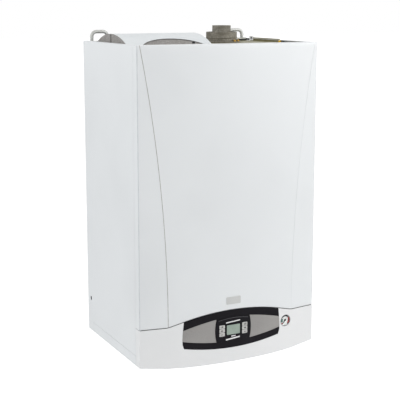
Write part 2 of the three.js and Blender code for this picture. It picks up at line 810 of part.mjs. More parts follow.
// Gauge pieces are turned about their own axis, heights counted from the fascia's surface outwards.
function gaugeCase() {
  const bore = gaugeRadius - gaugeWall;
  const floor = -gaugeDepth;
  const bead = gaugeRadius + gaugeBead; // behind the fascia's wall
  const beadFace = -fasciaWall - 1.4;
  const beadRear = -fasciaWall - 3.2;
  const seat = dialRear - fit;
  const well = 4;
  const cup = [
    [0, floor], [gaugeRadius, floor], [gaugeRadius, beadRear], [bead, beadRear], [bead, beadFace],
    [gaugeRadius, beadFace], [gaugeRadius, 1], [bore, 1], [bore, seat], [well, seat],
    [well, seat - 2], [0, seat - 2],
  ];
  const socket = needlePin + fit;
  return faceFront(cut(turned(cup, 20), turned([[0, -9], [socket, -9], [socket, 2], [0, 2]], 8)));
}

const gaugeDial = () =>
  faceFront(ring(1.4, gaugeRadius - gaugeWall - fit, dialRear, dialRear + dialThickness, 20));

function gaugeNeedle() {
  const hub = join(
    turned(
      [[0, -8.5], [needlePin, -8.5], [needlePin, -2], [needleHub, -2], [needleHub, -1.2], [0, -1.2]],
      12,
    ),
    alongZ(outline([[-1.3, -4.5], [1.3, -4.5], [0.5, needleLength], [-0.5, needleLength]]), -2, -1.3),
  );
  return faceFront(hub.rotateZ(THREE.MathUtils.degToRad(needleRest)));
}

function gaugeLens() {
  const rim = gaugeRadius - gaugeWall - fit;
  return faceFront(turned([[0, -0.5], [rim, -0.5], [rim, 0.5], [0, 0.7]], 24));
}

const boss = 4;
const lowBossX = 100;
const lowBossZ = boxLow + 10;
const boardRear = -boxRear - 12; // the spacers' ends

function controlBox() {
  const shell = box(-boxHalf, boxHalf, -boxFront, -boxRear, boxLow, boxHigh);
  const hollow = box(
    -boxHalf + boxWall, boxHalf - boxWall, -boxFront - 1, -boxRear - boxWall,
    boxLow + boxWall, boxHigh - boxWall,
  );
  const bosses = [[lowBossX, lowBossZ], [130, boxHigh - 8]].flatMap(([x, z]) =>
    [-x, x].map((place) => {
      const end = fasciaY(x + boss) + fasciaWall + fit;
      return rodY(boss, end, -boxRear - 1, place, z, 12);
    }),
  );
  const spacers = [-boardHalf + 8, boardHalf - 8].flatMap((x) =>
    [boxLow + 22, boxHigh - 22].map((z) =>
      rodY(3, boardRear, -boxRear - 1, x, z, 10),
    ),
  );
  return join(cut(shell, hollow), ...bosses, ...spacers);
}

// The circuit board with its transformer, relays, capacitors and a row of connectors.
function mainBoard() {
  const rear = boardRear - fit;
  const face = rear - boardThickness;
  const seat = face + 0.5; // the components sink this far into the board
  const board = box(-boardHalf, boardHalf, face, rear, boxLow + 12, boxHigh - 20);
  const bossHoles = [-lowBossX, lowBossX].map((x) => rodY(boss + 1, face - 1, rear + 1, x, lowBossZ, 12));
  const component = (x, width, height, foot, head) => box(x, x + width, face - height, seat, foot, head);
  const transformer = component(-95, 40, 30, 38, 72);
  const relays = span(-20, 60, 4).map((x) => component(x, 15, 16, 58, 78));
  const caps = [85, 112].map((x) => rodY(7, face - 22, seat, x, 64, 12));
  const sockets = span(-30, 90, 5).map((x) => component(x, 18, 10, 30, 40));
  return cut(join(board, transformer, ...relays, ...caps, ...sockets), ...bossHoles);
}

// ---- Tank --------------------------------------------------------------------------------------

const crownZ = casingHeight + coverRise - coverRadius; // the vault's axis
const tankFoot = jacketFoot + jacketFloor + fit;
const jacketVault = coverRadius - coverWall - fit;
const vaultAt = (radius, y) => crownZ + Math.sqrt(radius ** 2 - y ** 2);
const tankTop = vaultAt(jacketVault, tankRadius) - 20 + tankDome;

const tankSides = 16;

// A domed cylinder, from a flat neck at its foot.
function tankProfile(grow) {
  const dome = span(0, 90, 4);
  const low = dome.map((angle) => {
    const rad = THREE.MathUtils.degToRad(angle);
    return [(tankRadius + grow) * Math.sin(rad), tankFoot + tankDome - (tankDome + grow) * Math.cos(rad)];
  });
  const high = dome.map((angle) => {
    const rad = THREE.MathUtils.degToRad(angle);
    return [(tankRadius + grow) * Math.cos(rad), tankTop - tankDome + (tankDome + grow) * Math.sin(rad)];
  });
  return [...low, ...high];
}

function tankForm(grow) {
  const shell = turned(tankProfile(grow), tankSides);
  const neck = rodZ(tankNeck + grow, jacketFoot - 24, tankFoot + 10, 0, 0, tankSides);
  return join(shell, neck).translate(tankAxisX, tankAxisY, 0);
}

// The tank's shell, with a port over each of its two pipes.
function tank() {
  const room = turned(tankProfile(-tankWall), tankSides).translate(tankAxisX, tankAxisY, 0);
  const ports = [hotX, coldX].map((x) =>
    rodZ(narrowTube - tubeWall, tankPortZ(x) - 5, tankFoot + tankDome, x, stubY, 10),
  );
  return cut(tankForm(0), room, ...ports);
}

// One half of the foam jacket: front = -1, rear = 1. Its top follows the cover's vault.
function tankJacket(half) {
  const split = tankAxisY + (half * fit) / 2;
  const outer = tankAxisY + (half * jacketDepth) / 2;
  const arc = span(outer, split, 8).map((y) => [y, vaultAt(jacketVault, y - tankAxisY)]);
  const block = alongX(outline([[split, jacketFoot], [outer, jacketFoot], ...arc]), tankLeft, tankRight);
  const holes = [hotX, coldX].map((x) =>
    rodZ(narrowTube + 1, jacketFoot - 1, tankFoot + tankDome, x, stubY, 12),
  );
  return cut(block, tankForm(fit), ...holes);
}

// The moulded cover: a vault along X, open at both ends, with an arched cut-out in front.
function tankCover() {
  const half = jacketDepth / 2 + fit + coverWall;
  const foot = casingHeight - coverSkirt;
  const vault = (radius, reach, base) => {
    const arc = span(-reach, reach, 18).map((y) => [tankAxisY + y, vaultAt(radius, y)]);
    return outline([[tankAxisY - reach, base], ...arc, [tankAxisY + reach, base]]);
  };
  const block = alongX(vault(coverRadius, half, foot), tankLeft, tankRight);
  const inside = vault(coverRadius - coverWall, half - coverWall, foot - 1);
  const room = alongX(inside, tankLeft - 1, tankRight + 1);
  const archX = tankAxisX + archShift;
  const archBase = casingHeight - archFoot;
  const arch = span(0, Math.PI, 16).map((angle) => [
    archX + archHalf * Math.cos(angle),
    archBase + archRise * Math.sin(angle),
  ]);
  const opening = alongY(outline(arch), tankAxisY - half - 1, tankAxisY);
  return cut(block, room, opening);
}

// ---- Sealed chamber, from the burner up to the flue --------------------------------------------

const gasFeedX = chamberRight - gasFeedInset;
const gasFeedY = -262;
const riserLeft = chamberLeft + riserInset;
const riserRight = chamberRight - riserInset;
const sightHeight = chamberFoot + sightRise;
const burnerHead = chamberFoot + burnerRise;
const fireHead = burnerHead + fireHeight;
const finFoot = fireHead + fit;
const finHead = fireHead + finHeight;
const tubeZ = (finFoot + finHead) / 2;
const headerHalf = 14;
const fireX = (chamberLeft + chamberRight) / 2;
const fireHalf = (chamberRight - chamberLeft) / 2 - fireMargin;
const fireFront = -260;
const fireRear = -50;
const finHalf = fireHalf - fireWall + 6; // the end fins stand on the fire walls and carry the hood
const fanX = fireX + fanShift;
const fanZ = chamberHead - fanDrop;
const flueX = fanX - scrollStart - scrollGrowth + spigotRadius;
const hoodHead = fanZ - scrollStart - scrollGrowth - sheet - hoodToFan;

function airBox() {
  const shell = box(chamberLeft, chamberRight, -chamberFront, -chamberRear, chamberFoot, chamberHead);
  const room = box(
    chamberLeft + sheet, chamberRight - sheet, -chamberFront - 1, -chamberRear - sheet,
    chamberFoot + sheet, chamberHead - sheet,
  );
  const flue = rodZ(collarRadius - collarWall, chamberHead - 5, chamberHead + 1, flueX, flueY, 24);
  const risers = [riserLeft, riserRight].map((x) =>
    rodZ(wideTube + 1, chamberFoot - 1, chamberFoot + 5, x, stubY),
  );
  const feed = rodZ(waterTube + 1, chamberFoot - 1, chamberFoot + 5, gasFeedX, gasFeedY);
  return cut(shell, room, flue, ...risers, feed);
}

function airBoxCover() {
  const gap = fit + sheet;
  const plate = box(
    chamberLeft - gap, chamberRight + gap, -chamberFront - gap, -chamberFront - fit,
    chamberFoot - gap, chamberHead + gap,
  );
  const rim = box(
    chamberLeft - gap, chamberRight + gap, -chamberFront - gap, -chamberFront + chamberLip,
    chamberFoot - gap, chamberHead + gap,
  );
  const room = box(
    chamberLeft - fit, chamberRight + fit, -chamberFront - fit, -chamberFront + chamberLip + 1,
    chamberFoot - fit, chamberHead + fit,
  );
  const panelInset = 26;
  const relief = box(
    chamberLeft + panelInset, chamberRight - panelInset, -chamberFront - gap - 3, -chamberFront - fit,
    chamberFoot + panelInset, chamberHead - panelInset,
  );
  const reliefRoom = box(
    chamberLeft + panelInset + sheet, chamberRight - panelInset - sheet,
    -chamberFront - gap - 3 + sheet, -chamberFront + 1,
    chamberFoot + panelInset + sheet, chamberHead - panelInset - sheet,
  );
  const sight = rodY(sightRadius + fit, -chamberFront - 10, -chamberFront + 5, fireX, sightHeight, 20);
  return cut(join(plate, cut(rim, room), relief), reliefRoom, sight);
}

function sightGlass() {
  const face = -chamberFront - fit - sheet - 3;
  return rodY(sightRadius, face - 0.5, face + 2.5, fireX, sightHeight, 20);
}

function fireChamber() {
  const foot = burnerHead + fit;
  const shell = box(fireX - fireHalf, fireX + fireHalf, fireFront, fireRear, foot, fireHead);
  const room = box(
    fireX - fireHalf + fireWall, fireX + fireHalf - fireWall, fireFront + fireWall, fireRear - fireWall,
    foot - 1, fireHead + 1,
  );
  return cut(shell, room);
}

const rampX = span(fireX - fireHalf + 26, fireX + fireHalf - 26, rampCount - 1);

// A rack of ramps with rounded heads, on two cross bars between end frames that stand on the floor.
function burner() {
  const foot = chamberFoot + sheet + fit;
  const front = fireFront + 26;
  const rear = fireRear - 26;
  const half = rampWidth / 2;
  const axis = burnerHead - half - 2;
  const ramps = rampX.map((x) =>
    join(
      box(x - half, x + half, front, rear, foot + 20, axis),
      rodY(half, front, rear, x, axis, 8),
    ),
  );
  const ends = [fireX - fireHalf + 2, fireX + fireHalf - 6].map((x) =>
    box(x, x + 4, front, rear, foot, burnerHead),
  );
  const bars = [front + 8, rear - 16].map((y) =>
    box(fireX - fireHalf + 3, fireX + fireHalf - 3, y, y + 8, foot + 14, foot + 22),
  );
  return join(...ends, ...bars, ...ramps);
}

// Gas rail with a nozzle to each ramp, and its feed down to the valve.
function gasManifold() {
  const z = chamberFoot + sheet + 26;
  const railLeft = rampX[0] - 14;
  const railRight = rampX.at(-1) + 14;
  const rail = rodX(8, railLeft, railRight, gasFeedY - 8, z, 8);
  const nozzles = rampX.map((x) => rodY(3, gasFeedY - 8, fireFront + 26 - fit, x, z, 6));
  const feed = pipe(
    [
      point(gasFeedX, gasFeedY, z),
      point(gasFeedX, gasFeedY, gasValveZ),
      point(gasOutletX, gasFeedY, gasValveZ),
      point(gasOutletX, stubY - gasValveHalf - fit, gasValveZ),
    ],
    waterTube - 1, 24, 10,
  );
  return join(rail, feed, ...nozzles);
}

function heatExchanger() {
  const front = fireFront + 10;
  const rear = fireRear - 10;
  const fins = span(fireX - finHalf, fireX + finHalf - finThickness, finCount - 1).map((x) =>
    box(x, x + finThickness, front, rear, finFoot, finHead),
  );
  const tubes = span(front + 34, rear - 34, 2).map((y) =>
    rodX(waterTube, riserLeft, riserRight, y, tubeZ, 6),
  );
  const headers = [riserLeft, riserRight].map((x) =>
    box(x - wideTube, x + wideTube, front + 12, rear - 12, tubeZ - headerHalf, tubeZ + headerHalf),
  );
  return join(...fins, ...tubes, ...headers);
}

const plenumRear = fireRear - 4;
const plenumFront = flueY + fanWidth / 2 + sheet + fit;
const plenumHalf = 65;
const plenumHead = fanZ + 57;
const hoodRight = 85; // hood's top, right of the fan's axis

function flueHood() {
  const foot = finHead + fit;
  const funnel = (inset, y0, y1, z0) =>
    alongY(
      outline([
        [fireX - finHalf + inset, z0], [fireX + finHalf - inset, z0], [fireX + finHalf - inset, foot + 12],
        [fanX + hoodRight - inset, hoodHead - inset], [fanX - plenumHalf + inset, hoodHead - inset],
        [fireX - finHalf + inset, foot + 12],
      ]),
      y0, y1,
    );
  const outer = join(
    funnel(0, fireFront + 4, plenumRear, foot),
    box(fanX - plenumHalf, fanX + plenumHalf, plenumFront, plenumRear, hoodHead - 10, plenumHead),
  );
  const inner = join(
    funnel(sheet, fireFront + 4 + sheet, plenumRear - sheet, foot - 1),
    box(
      fanX - plenumHalf + sheet, fanX + plenumHalf - sheet, plenumFront + sheet, plenumRear - sheet,
      hoodHead - 12, plenumHead - sheet,
    ),
  );
  const eye = rodY(eyeRadius, plenumFront - 2, plenumFront + 5, fanX, fanZ, 20);
  return cut(outer, inner, eye);
}

const outletHead = fanZ + 70;

// The volute: a spiral that opens clockwise from the outlet's right wall to its left wall.
function scroll(grow, y0, y1) {
  const spiral = span(0, 270, 18).map((turn) => {
    const angle = THREE.MathUtils.degToRad(90 - turn);
    const radius = scrollStart + (scrollGrowth * turn) / 270 + grow;
    return [fanX + radius * Math.cos(angle), fanZ + radius * Math.sin(angle)];
  });
  const head = outletHead + (grow ? 0 : 1);
  const left = fanX - scrollStart - scrollGrowth - grow;
  const right = left + 2 * spigotRadius + 2 * grow;
  const outlet = [[left, head], [right, head], [right, fanZ + scrollStart + grow]];
  return alongY(outline([...spiral, ...outlet]), y0, y1);
}

function fanHousing() {
  const front = flueY - fanWidth / 2;
  const rear = flueY + fanWidth / 2;
  const outer = scroll(sheet, front - sheet, rear + sheet);
  const rim = box(flueX - 40, flueX + 40, flueY - 36, flueY + 36, outletHead - 2, outletHead);
  const bore = rodZ(spigotRadius - spigotWall, outletHead - 5, outletHead + 1, flueX, flueY, 24);
  const room = common(scroll(0, front, rear), box(0, 400, -400, 0, 0, outletHead - 2));
  const eye = rodY(eyeRadius, rear - 2, rear + 5, fanX, fanZ, 20);
  const shaft = rodY(shaftRadius + 1, front - 5, front + 5, fanX, fanZ, 12);
  return cut(join(outer, rim), room, bore, eye, shaft);
}

// The wheel: a back plate, forward-curved blades and an eye ring, with its shaft to the motor.
function fanWheel() {
  const plate = fanWidth / 2 - 4;
  const eyeFace = -fanWidth / 2 + 6;
  const blade = outline([
    [wheelInner, -1.2], [46, 1.6], [wheelRadius - 0.5, 7.6],
    [wheelRadius, 6.2], [46.6, 0.2], [wheelInner, -2.6],
  ]);
  const blades = span(0, full, bladeCount).slice(1).map((angle) =>
    alongZ(blade, eyeFace + 1, plate + 0.5).rotateZ(angle),
  );
  const disc = turned([[0, plate], [wheelRadius, plate], [wheelRadius, plate + 1.5], [0, plate + 1.5]], 20);
  const eyeRing = ring(wheelInner, wheelRadius, eyeFace, eyeFace + 2, 20);
  const shaft = turned([[0, plate - 12], [8, plate - 12], [8, plate + 0.5], [0, plate + 0.5]], 16);
  const spindle = rodZ(shaftRadius, plate, plate + 40, 0, 0, 12);
  return faceFront(join(disc, eyeRing, shaft, spindle, ...blades));
}

function fanMotor() {
  const face = fanWidth / 2 + sheet + fit;
  const body = turned(
    [
      [0, face], [38, face], [38, face + 3], [32, face + 3],
      [32, face + 34], [28, face + 40], [14, face + 44], [0, face + 44],
    ],
    18,
  );
  const bore = rodZ(shaftRadius + fit, face - 1, face + 38, 0, 0, 12);
  return faceFront(cut(body, bore));
}

function flueCollar() {
  const foot = chamberHead + fit;
  const lip = casingHeight + 7;
  const head = casingHeight + collarTop;
  const bore = collarRadius - collarWall;
  const profile = [
    [bore, foot], [collarRadius + collarFlange, foot], [collarRadius + collarFlange, foot + collarPlate],
    [collarRadius, foot + collarPlate], [collarRadius, lip - collarBead], [collarRadius + collarBead, lip],
    [collarRadius + collarBead, lip + collarBead], [collarRadius, lip + 2 * collarBead],
    [collarRadius, head], [bore, head], [bore, foot],
  ];
  return turned(profile, 24).translate(flueX, flueY, 0);
}

function flueSpigot() {
  const foot = outletHead + fit;
  const head = casingHeight + spigotTop;
  return ring(spigotRadius - spigotWall, spigotRadius, foot, head, 24).translate(flueX, flueY, 0);
}

// ---- Water and gas -----------------------------------------------------------------------------

const gasValveFoot = 90;
const gasValveHead = 140;
const gasValveHalf = 40;
const gasValveZ = gasValveFoot + 20; // its outlet
const gasOutletX = gasX + 15;
const gasFlange = 6;
const gasFlangeHalf = 18;
const coilRise = 26;
const regulatorRise = 12;

// A tube with an open lower end and a hexagon nut above it.
function stub(x, radius, top, extras = []) {
  const tube = rodZ(radius, stubFoot, top, x, stubY, 12);
  const nut = rodZ(radius + 4.5, -12, 2, x, stubY, 6);
  const bore = rodZ(radius - tubeWall, stubFoot - 1, stubFoot + stubBore, x, stubY, 12);
  return cut(join(tube, nut, ...extras), bore);
}

const tankPortZ = (x) => {
  const away = Math.hypot(x - tankAxisX, stubY - tankAxisY) - narrowTube;
  return tankFoot + tankDome * (1 - Math.sqrt(1 - (away / tankRadius) ** 2)) - 2 * fit;
};

const tapZ = 45;
const tapFace = stubY - 40;

function coldPipe() {
  const branch = rodY(7, stubY, tapFace, coldX, tapZ, 12);
  const nut = rodY(11, stubY - 24, stubY - 14, coldX, tapZ, 6);
  const spindle = rodY(2.5, tapFace + 2, tapFace - 12, coldX, tapZ, 10);
  return stub(coldX, narrowTube, tankPortZ(coldX), [branch, nut, spindle]);
}

// A four-lobed knob with a blind bore, facing the front.
function filling() {
  const grip = [];
  for (let i = 0; i < 24; i++) {
    const angle = (full * i) / 24;
    const radius = 13 + 2 * Math.cos(4 * angle);
    grip.push([radius * Math.cos(angle), radius * Math.sin(angle)]);
  }
  return faceFront(cut(alongZ(outline(grip), fit, 14), rodZ(2.5 + fit, -1, 12.5, 0, 0, 10)));
}

function gasValve() {
  const front = stubY - gasValveHalf;
  const body = box(gasX - 26, gasX + 30, front, stubY + gasValveHalf, gasValveFoot, gasValveHead);
  const onTop = (x, y, radius, rise, sides) =>
    rodZ(radius, gasValveHead - 1, gasValveHead + rise, x, y, sides);
  const coils = [gasX - 10, gasX + 16].map((x) => onTop(x, stubY + 12, 11, coilRise, 14));
  const regulator = onTop(gasX - 2, stubY - 16, 16, regulatorRise, 16);
  const flange = box(
    gasX - gasFlangeHalf, gasX + gasFlangeHalf, stubY - gasFlangeHalf, stubY + gasFlangeHalf,
    gasValveFoot - gasFlange, gasValveFoot + 1,
  );
  return join(body, ...coils, regulator, flange);
}

function expansionVessel() {
  const rear = vesselDepth / 2;
  const dome = span(0, 90, 4).map((angle) => THREE.MathUtils.degToRad(angle));
  const low = dome.map((a) => [vesselRadius * Math.sin(a) ** 0.5, -rear * Math.cos(a) ** 0.6]);
  const high = dome.map((a) => [vesselRadius * Math.cos(a) ** 0.5, rear * Math.sin(a) ** 0.6]);
  const seam = ring(vesselRadius - 8, vesselRadius + 4, -4, 4, 16);
  const shell = join(turned([...low, ...high.slice(1)], 16), seam);
  const middle = sheetFace - fit - rear;
  const vesselZ = chamberFoot - vesselDrop;
  const foot = vesselZ - vesselRadius;
  const port = rodZ(8, foot - 14, foot + 6, vesselX, middle, 10);
  return join(faceFront(shell).translate(vesselX, middle, vesselZ), port);
}

const voluteFront = 30;
const voluteRear = -20;
const voluteInner = 37;
const pumpPort = 15; // radius
const pumpReach = 60; // port's end from the pump's axis
const motorRadius = 40;
const motorLength = 74;

function pumpBody() {
  const volute = turned(
    [
      [0, voluteRear], [30, voluteRear], [pumpRadius, voluteRear + 8], [pumpRadius, voluteFront],
      [voluteInner, voluteFront], [voluteInner, voluteRear + 10], [0, voluteRear + 10],
    ],
    18,
  );
  const ports = [-pumpReach, voluteInner + 1].map((foot) =>
    rodZ(pumpPort, pumpZ + foot, pumpZ + foot + pumpReach - voluteInner - 1, returnX, stubY, 12),
  );
  const branch = rodX(8, returnX + pumpRadius - 6, safetyX - safetyRadius - fit, stubY, pumpZ, 12);
  return join(faceFront(volute).translate(returnX, stubY, pumpZ), ...ports, branch);
}

function pumpRotor() {
  const impeller = turned([[0, -7], [12, -7], [31, 2], [31, 10], [34, 10], [34, 12], [0, 12]], 20);
  const shaft = rodZ(4, 11, 70, 0, 0, 12);
  return faceFront(join(impeller, shaft));
}

function pumpMotor() {
  const face = voluteFront + fit;
  const body = turned(
    [
      [0, face], [pumpRadius - 2, face], [pumpRadius - 2, face + 6], [motorRadius, face + 8],
      [motorRadius, face + motorLength - 8], [motorRadius - 6, face + motorLength], [0, face + motorLength],
    ],
    18,
  );
  const terminal = box(-22, 22, 34, 54, face + 14, face + 52);
  const bore = rodZ(4 + fit, face - 1, face + 45, 0, 0, 12);
  return faceFront(cut(join(body, terminal), bore));
}

const safetyX = returnX + 68;
const safetyRadius = 12;
const knobFoot = 148;
const drainFoot = 60;
const drainHead = 92;

function safetyValve() {
  const body = rodZ(safetyRadius, drainHead, knobFoot - 6, safetyX, stubY, 12);
  const neck = rodZ(9, knobFoot - 7, knobFoot, safetyX, stubY, 12);
  const spindle = rodZ(3, knobFoot - 1, knobFoot + 10, safetyX, stubY, 10);
  const drain = rodZ(7, drainFoot, drainHead + 1, safetyX, stubY, 12);
  const bore = rodZ(4.5, drainFoot - 1, drainFoot + 20, safetyX, stubY, 10);
  return cut(join(body, neck, spindle, drain), bore);
}

function safetyKnob() {
  const rim = [];
  for (let i = 0; i < 24; i++) {
    const angle = (full * i) / 24;
    const radius = i % 2 ? 14 : 12.6;
    rim.push([radius * Math.cos(angle), radius * Math.sin(angle)]);
  }
  return cut(alongZ(outline(rim), fit, 17), rodZ(3 + fit, -1, 11, 0, 0, 10));
}

// Three-way valve: an upright brass body, and an actuator in front of it on two bars.
const actuatorGap = 22;
const valveFace = 17;
const diverterFoot = 60;
const diverterHead = 150;
const diverterZ = (diverterFoot + diverterHead) / 2;

function diverterValve() {
  const body = rodZ(16, diverterFoot, diverterHead, flowX, stubY, 12);
  const nose = rodY(13, stubY, stubY - valveFace, flowX, diverterZ, 12);
  const rear = stubY - valveFace - actuatorGap;
  const housing = box(flowX - 21, flowX + 21, rear - 36, rear, diverterZ - 20, diverterZ + 20);
  const bars = [flowX - 10, flowX + 10].map((x) =>
    rodY(2.5, rear - 1, stubY - valveFace + 1, x, diverterZ, 8),
  );
  const bore = rodY(3 + fit, rear - 14, stubY - 2, flowX, diverterZ, 12);
  return cut(join(body, nose, housing, ...bars), bore);
}

function diverterStem() {
  const rear = stubY - valveFace - actuatorGap;
  const stem = rodY(3, rear - 8, stubY - 9, flowX, diverterZ, 12);
  const cuff = rodY(5, rear + 2, rear + 6, flowX, diverterZ, 12);
  return join(stem, cuff);
}

const riserRun = 205;
const riserHead = tubeZ - headerHalf - fit;

function riser(fromX, toX, foot) {
  const corners = [
    point(fromX, stubY, foot), point(fromX, stubY, riserRun),
    point(toX, stubY, riserRun), point(toX, stubY, riserHead),
  ];
  return pipe(corners, wideTube, 20, 10);
}

// ---- Assembly ----------------------------------------------------------------------------------

const boiler = new THREE.Group();
boiler.position.set(0, -wallStandoff, -hangingLine);

function add(name, geometry, color, roughness, metalness, parent = boiler) {
  const mesh = new THREE.Mesh(geometry, new THREE.MeshStandardMaterial({ color, roughness, metalness }));
  mesh.name = name;
  parent.add(mesh);
}

function groupAt(place, turn = 0) {
  const group = new THREE.Group();
  group.position.copy(place);
  group.rotation.z = turn;
  boiler.add(group);
  return group;
}

const enamel = [0xe6e9ea, 0.42, 0];
const galvanised = [0xa9aaa4, 0.45, 0.9];
const zinc = [0x8f8c78, 0.5, 0.85];
const brass = [0xb99a4b, 0.35, 0.95];
const copper = [0xb56a45, 0.35, 0.95];
const cast = [0x77746b, 0.6, 0.7];
const blackGloss = [0x1c1a1e, 0.25, 0];
const steel = [0xb9bbbc, 0.32, 0.95];

add("rear_frame", rearFrame(), ...galvanised);
add("hanging_loop_left", hangingLoop(-1), ...galvanised);
add("hanging_loop_right", hangingLoop(1), ...galvanised);
add("side_panel_left", sidePanel(-1), ...enamel);
add("side_panel_right", sidePanel(1), ...enamel);
add("bottom_tray", bottomTray(), ...enamel);
add("front_rail", frontRail(), ...galvanised);
add("front_panel", frontPanel(), ...enamel);
add("fascia", fascia(), 0xe4e5e5, 0.38, 0);
add("trim_panel", trimPanel(), ...blackGloss);
add("wing_left", wing(-1), 0x9d9994, 0.35, 0.8);
add("wing_right", wing(1), 0x9d9994, 0.35, 0.8);
add("control_box", controlBox(), 0xd9dbdc, 0.6, 0);
add("main_board", mainBoard(), 0x2f6b44, 0.5, 0);
add("controller_body", unitBody(), ...blackGloss);
add("lcd_panel", displayPanel(), 0x9fae9f, 0.2, 0);
for (const side of [-1, 1]) {
  for (const row of rows) {
    add(`key_${side < 0 ? "left" : "right"}_${row + 1}`, key(side, row), 0xcfcfce, 0.4, 0.2);
  }
}

const gauge = groupAt(point(gaugeX, fasciaY(gaugeX), gaugeHeight), gaugeTurn);
add("gauge_case", gaugeCase(), 0x54565a, 0.4, 0.3, gauge);
add("gauge_dial", gaugeDial(), 0xf4f4f2, 0.6, 0, gauge);
add("gauge_needle", gaugeNeedle(), 0x17181a, 0.5, 0, gauge);
add("gauge_lens", gaugeLens(), 0xeef2f3, 0.1, 0, gauge);

add("tank", tank(), ...steel);
add("tank_jacket_front", tankJacket(-1), 0x85817a, 0.95, 0);
add("tank_jacket_rear", tankJacket(1), 0x85817a, 0.95, 0);
add("tank_cover", tankCover(), 0xe4e7e8, 0.55, 0);

add("air_box", airBox(), ...zinc);
add("air_box_cover", airBoxCover(), ...zinc);
add("sight_glass", sightGlass(), 0xdfe6e4, 0.1, 0);
add("combustion_chamber", fireChamber(), 0xc9c4b8, 0.9, 0);
add("burner", burner(), 0x9a9a98, 0.45, 0.9);
add("gas_manifold", gasManifold(), ...steel);
add("heat_exchanger", heatExchanger(), ...copper);
add("flue_hood", flueHood(), ...galvanised);
add("fan_housing", fanHousing(), ...galvanised);
const fan = groupAt(point(fanX, flueY, fanZ));
add("fan_wheel", fanWheel(), ...steel, fan);
add("fan_motor", fanMotor(), 0x3b3d40, 0.5, 0.5, fan);
add("flue_collar", flueCollar(), ...cast);
add("flue_spigot", flueSpigot(), ...cast);

add("gas_valve", gasValve(), 0xa7a9ab, 0.5, 0.7);
add("expansion_vessel", expansionVessel(), 0xb23a2e, 0.5, 0.2);
add("pump_body", pumpBody(), 0x4a4c4e, 0.7, 0.6);
const pump = groupAt(point(returnX, stubY, pumpZ));
add("pump_rotor", pumpRotor(), 0xd8c79a, 0.5, 0, pump);
add("pump_motor", pumpMotor(), 0x2f3033, 0.5, 0.3, pump);
add("diverter_valve", diverterValve(), ...brass);
add("diverter_stem", diverterStem(), ...steel);
add("safety_valve", safetyValve(), ...brass);
const knob = groupAt(point(safetyX, stubY, knobFoot));
add("safety_valve_knob", safetyKnob(), 0xb3251e, 0.45, 0, knob);
add("filling_tap", filling(), 0x24262a, 0.5, 0, groupAt(point(coldX, tapFace, tapZ)));
add("pipe_hot", stub(hotX, narrowTube, tankPortZ(hotX)), ...copper);
add("pipe_cold", coldPipe(), ...copper);
add("pipe_gas", stub(gasX, wideTube, gasValveFoot - gasFlange - fit), ...steel);
add("pipe_flow", stub(flowX, wideTube, diverterFoot - fit), ...copper);
add("pipe_return", stub(returnX, wideTube, pumpZ - pumpReach - fit), ...copper);
add("riser_flow", riser(flowX, riserLeft, diverterHead + fit), ...copper);
add("riser_return", riser(returnX, riserRight, pumpZ + pumpReach + fit), ...copper);

export default boiler;
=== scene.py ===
import json
import math

import bpy
import numpy as np
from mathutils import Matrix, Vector


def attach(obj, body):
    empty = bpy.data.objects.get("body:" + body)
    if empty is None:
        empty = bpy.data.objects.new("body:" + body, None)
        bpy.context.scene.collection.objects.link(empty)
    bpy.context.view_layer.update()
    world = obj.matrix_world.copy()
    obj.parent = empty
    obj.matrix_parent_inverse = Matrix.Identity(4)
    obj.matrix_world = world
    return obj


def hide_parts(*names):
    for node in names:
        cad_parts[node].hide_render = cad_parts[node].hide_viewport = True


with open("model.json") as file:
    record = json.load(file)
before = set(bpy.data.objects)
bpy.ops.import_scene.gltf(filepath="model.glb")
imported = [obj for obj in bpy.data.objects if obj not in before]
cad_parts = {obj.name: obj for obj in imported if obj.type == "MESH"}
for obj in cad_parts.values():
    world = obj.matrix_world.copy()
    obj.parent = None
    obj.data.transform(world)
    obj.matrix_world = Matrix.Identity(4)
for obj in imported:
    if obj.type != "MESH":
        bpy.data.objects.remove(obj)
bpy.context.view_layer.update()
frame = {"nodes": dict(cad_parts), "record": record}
nodes = frame["nodes"]

# Sizes are in millimetres, in the casing's own coordinates: X = 0 on the centre line, Y = 0 at the side
# panels' rear edges and Z = 0 at the casing's foot. place() takes them to the row's frame.
WALL_STANDOFF = 8.0
HANGING_LINE = 915.0


def place(x, y, z):
    return (x / 1000, (y - WALL_STANDOFF) / 1000, (z - HANGING_LINE) / 1000)


# ---- The front's shared surface ----------------------------------------------------------------

HALF_WIDTH = 300.0
CASING_HEIGHT = 950.0
FRONT_EDGE = -404.0
COVER_REAR = -404.8
FOLD_Y = -432.0
APEX_Y = -458.0
FACET_SLOPE = 0.153
FACET_FOOT = 87.5
FACET_HEAD = 9.0
SEAM_EDGE = 117.0
SEAM_APEX = 149.0
SEAM_RADIUS = 690.0
SEAM_ARCH = 165.0
SEAM_GAP = 1.8


def crease_half(z):
    foot, head = HALF_WIDTH - FACET_FOOT, HALF_WIDTH - FACET_HEAD
    rise = max(0.0, (z - SEAM_EDGE) / (CASING_HEIGHT - SEAM_EDGE))
    return foot + (head - foot) * rise**2


def facet_y(x):
    return FOLD_Y - FACET_SLOPE * (HALF_WIDTH - abs(x))


def front_y(x, crease):
    if abs(x) >= crease:
        return facet_y(x)
    return APEX_Y + (facet_y(crease) - APEX_Y) * (x / crease) ** 2


def fascia_y(x):
    return front_y(x, crease_half(SEAM_EDGE))


def seam_z(x):
    away = abs(x)
    if away <= SEAM_ARCH:
        return SEAM_APEX - SEAM_RADIUS + math.sqrt(SEAM_RADIUS**2 - x * x)
    shoulder = SEAM_APEX - SEAM_RADIUS + math.sqrt(SEAM_RADIUS**2 - SEAM_ARCH**2)
    run = HALF_WIDTH - FACET_FOOT
    rise = (run - away) / (run - SEAM_ARCH)
    return SEAM_EDGE + (shoulder - SEAM_EDGE) * max(0.0, rise)


# ---- Materials ---------------------------------------------------------------------------------


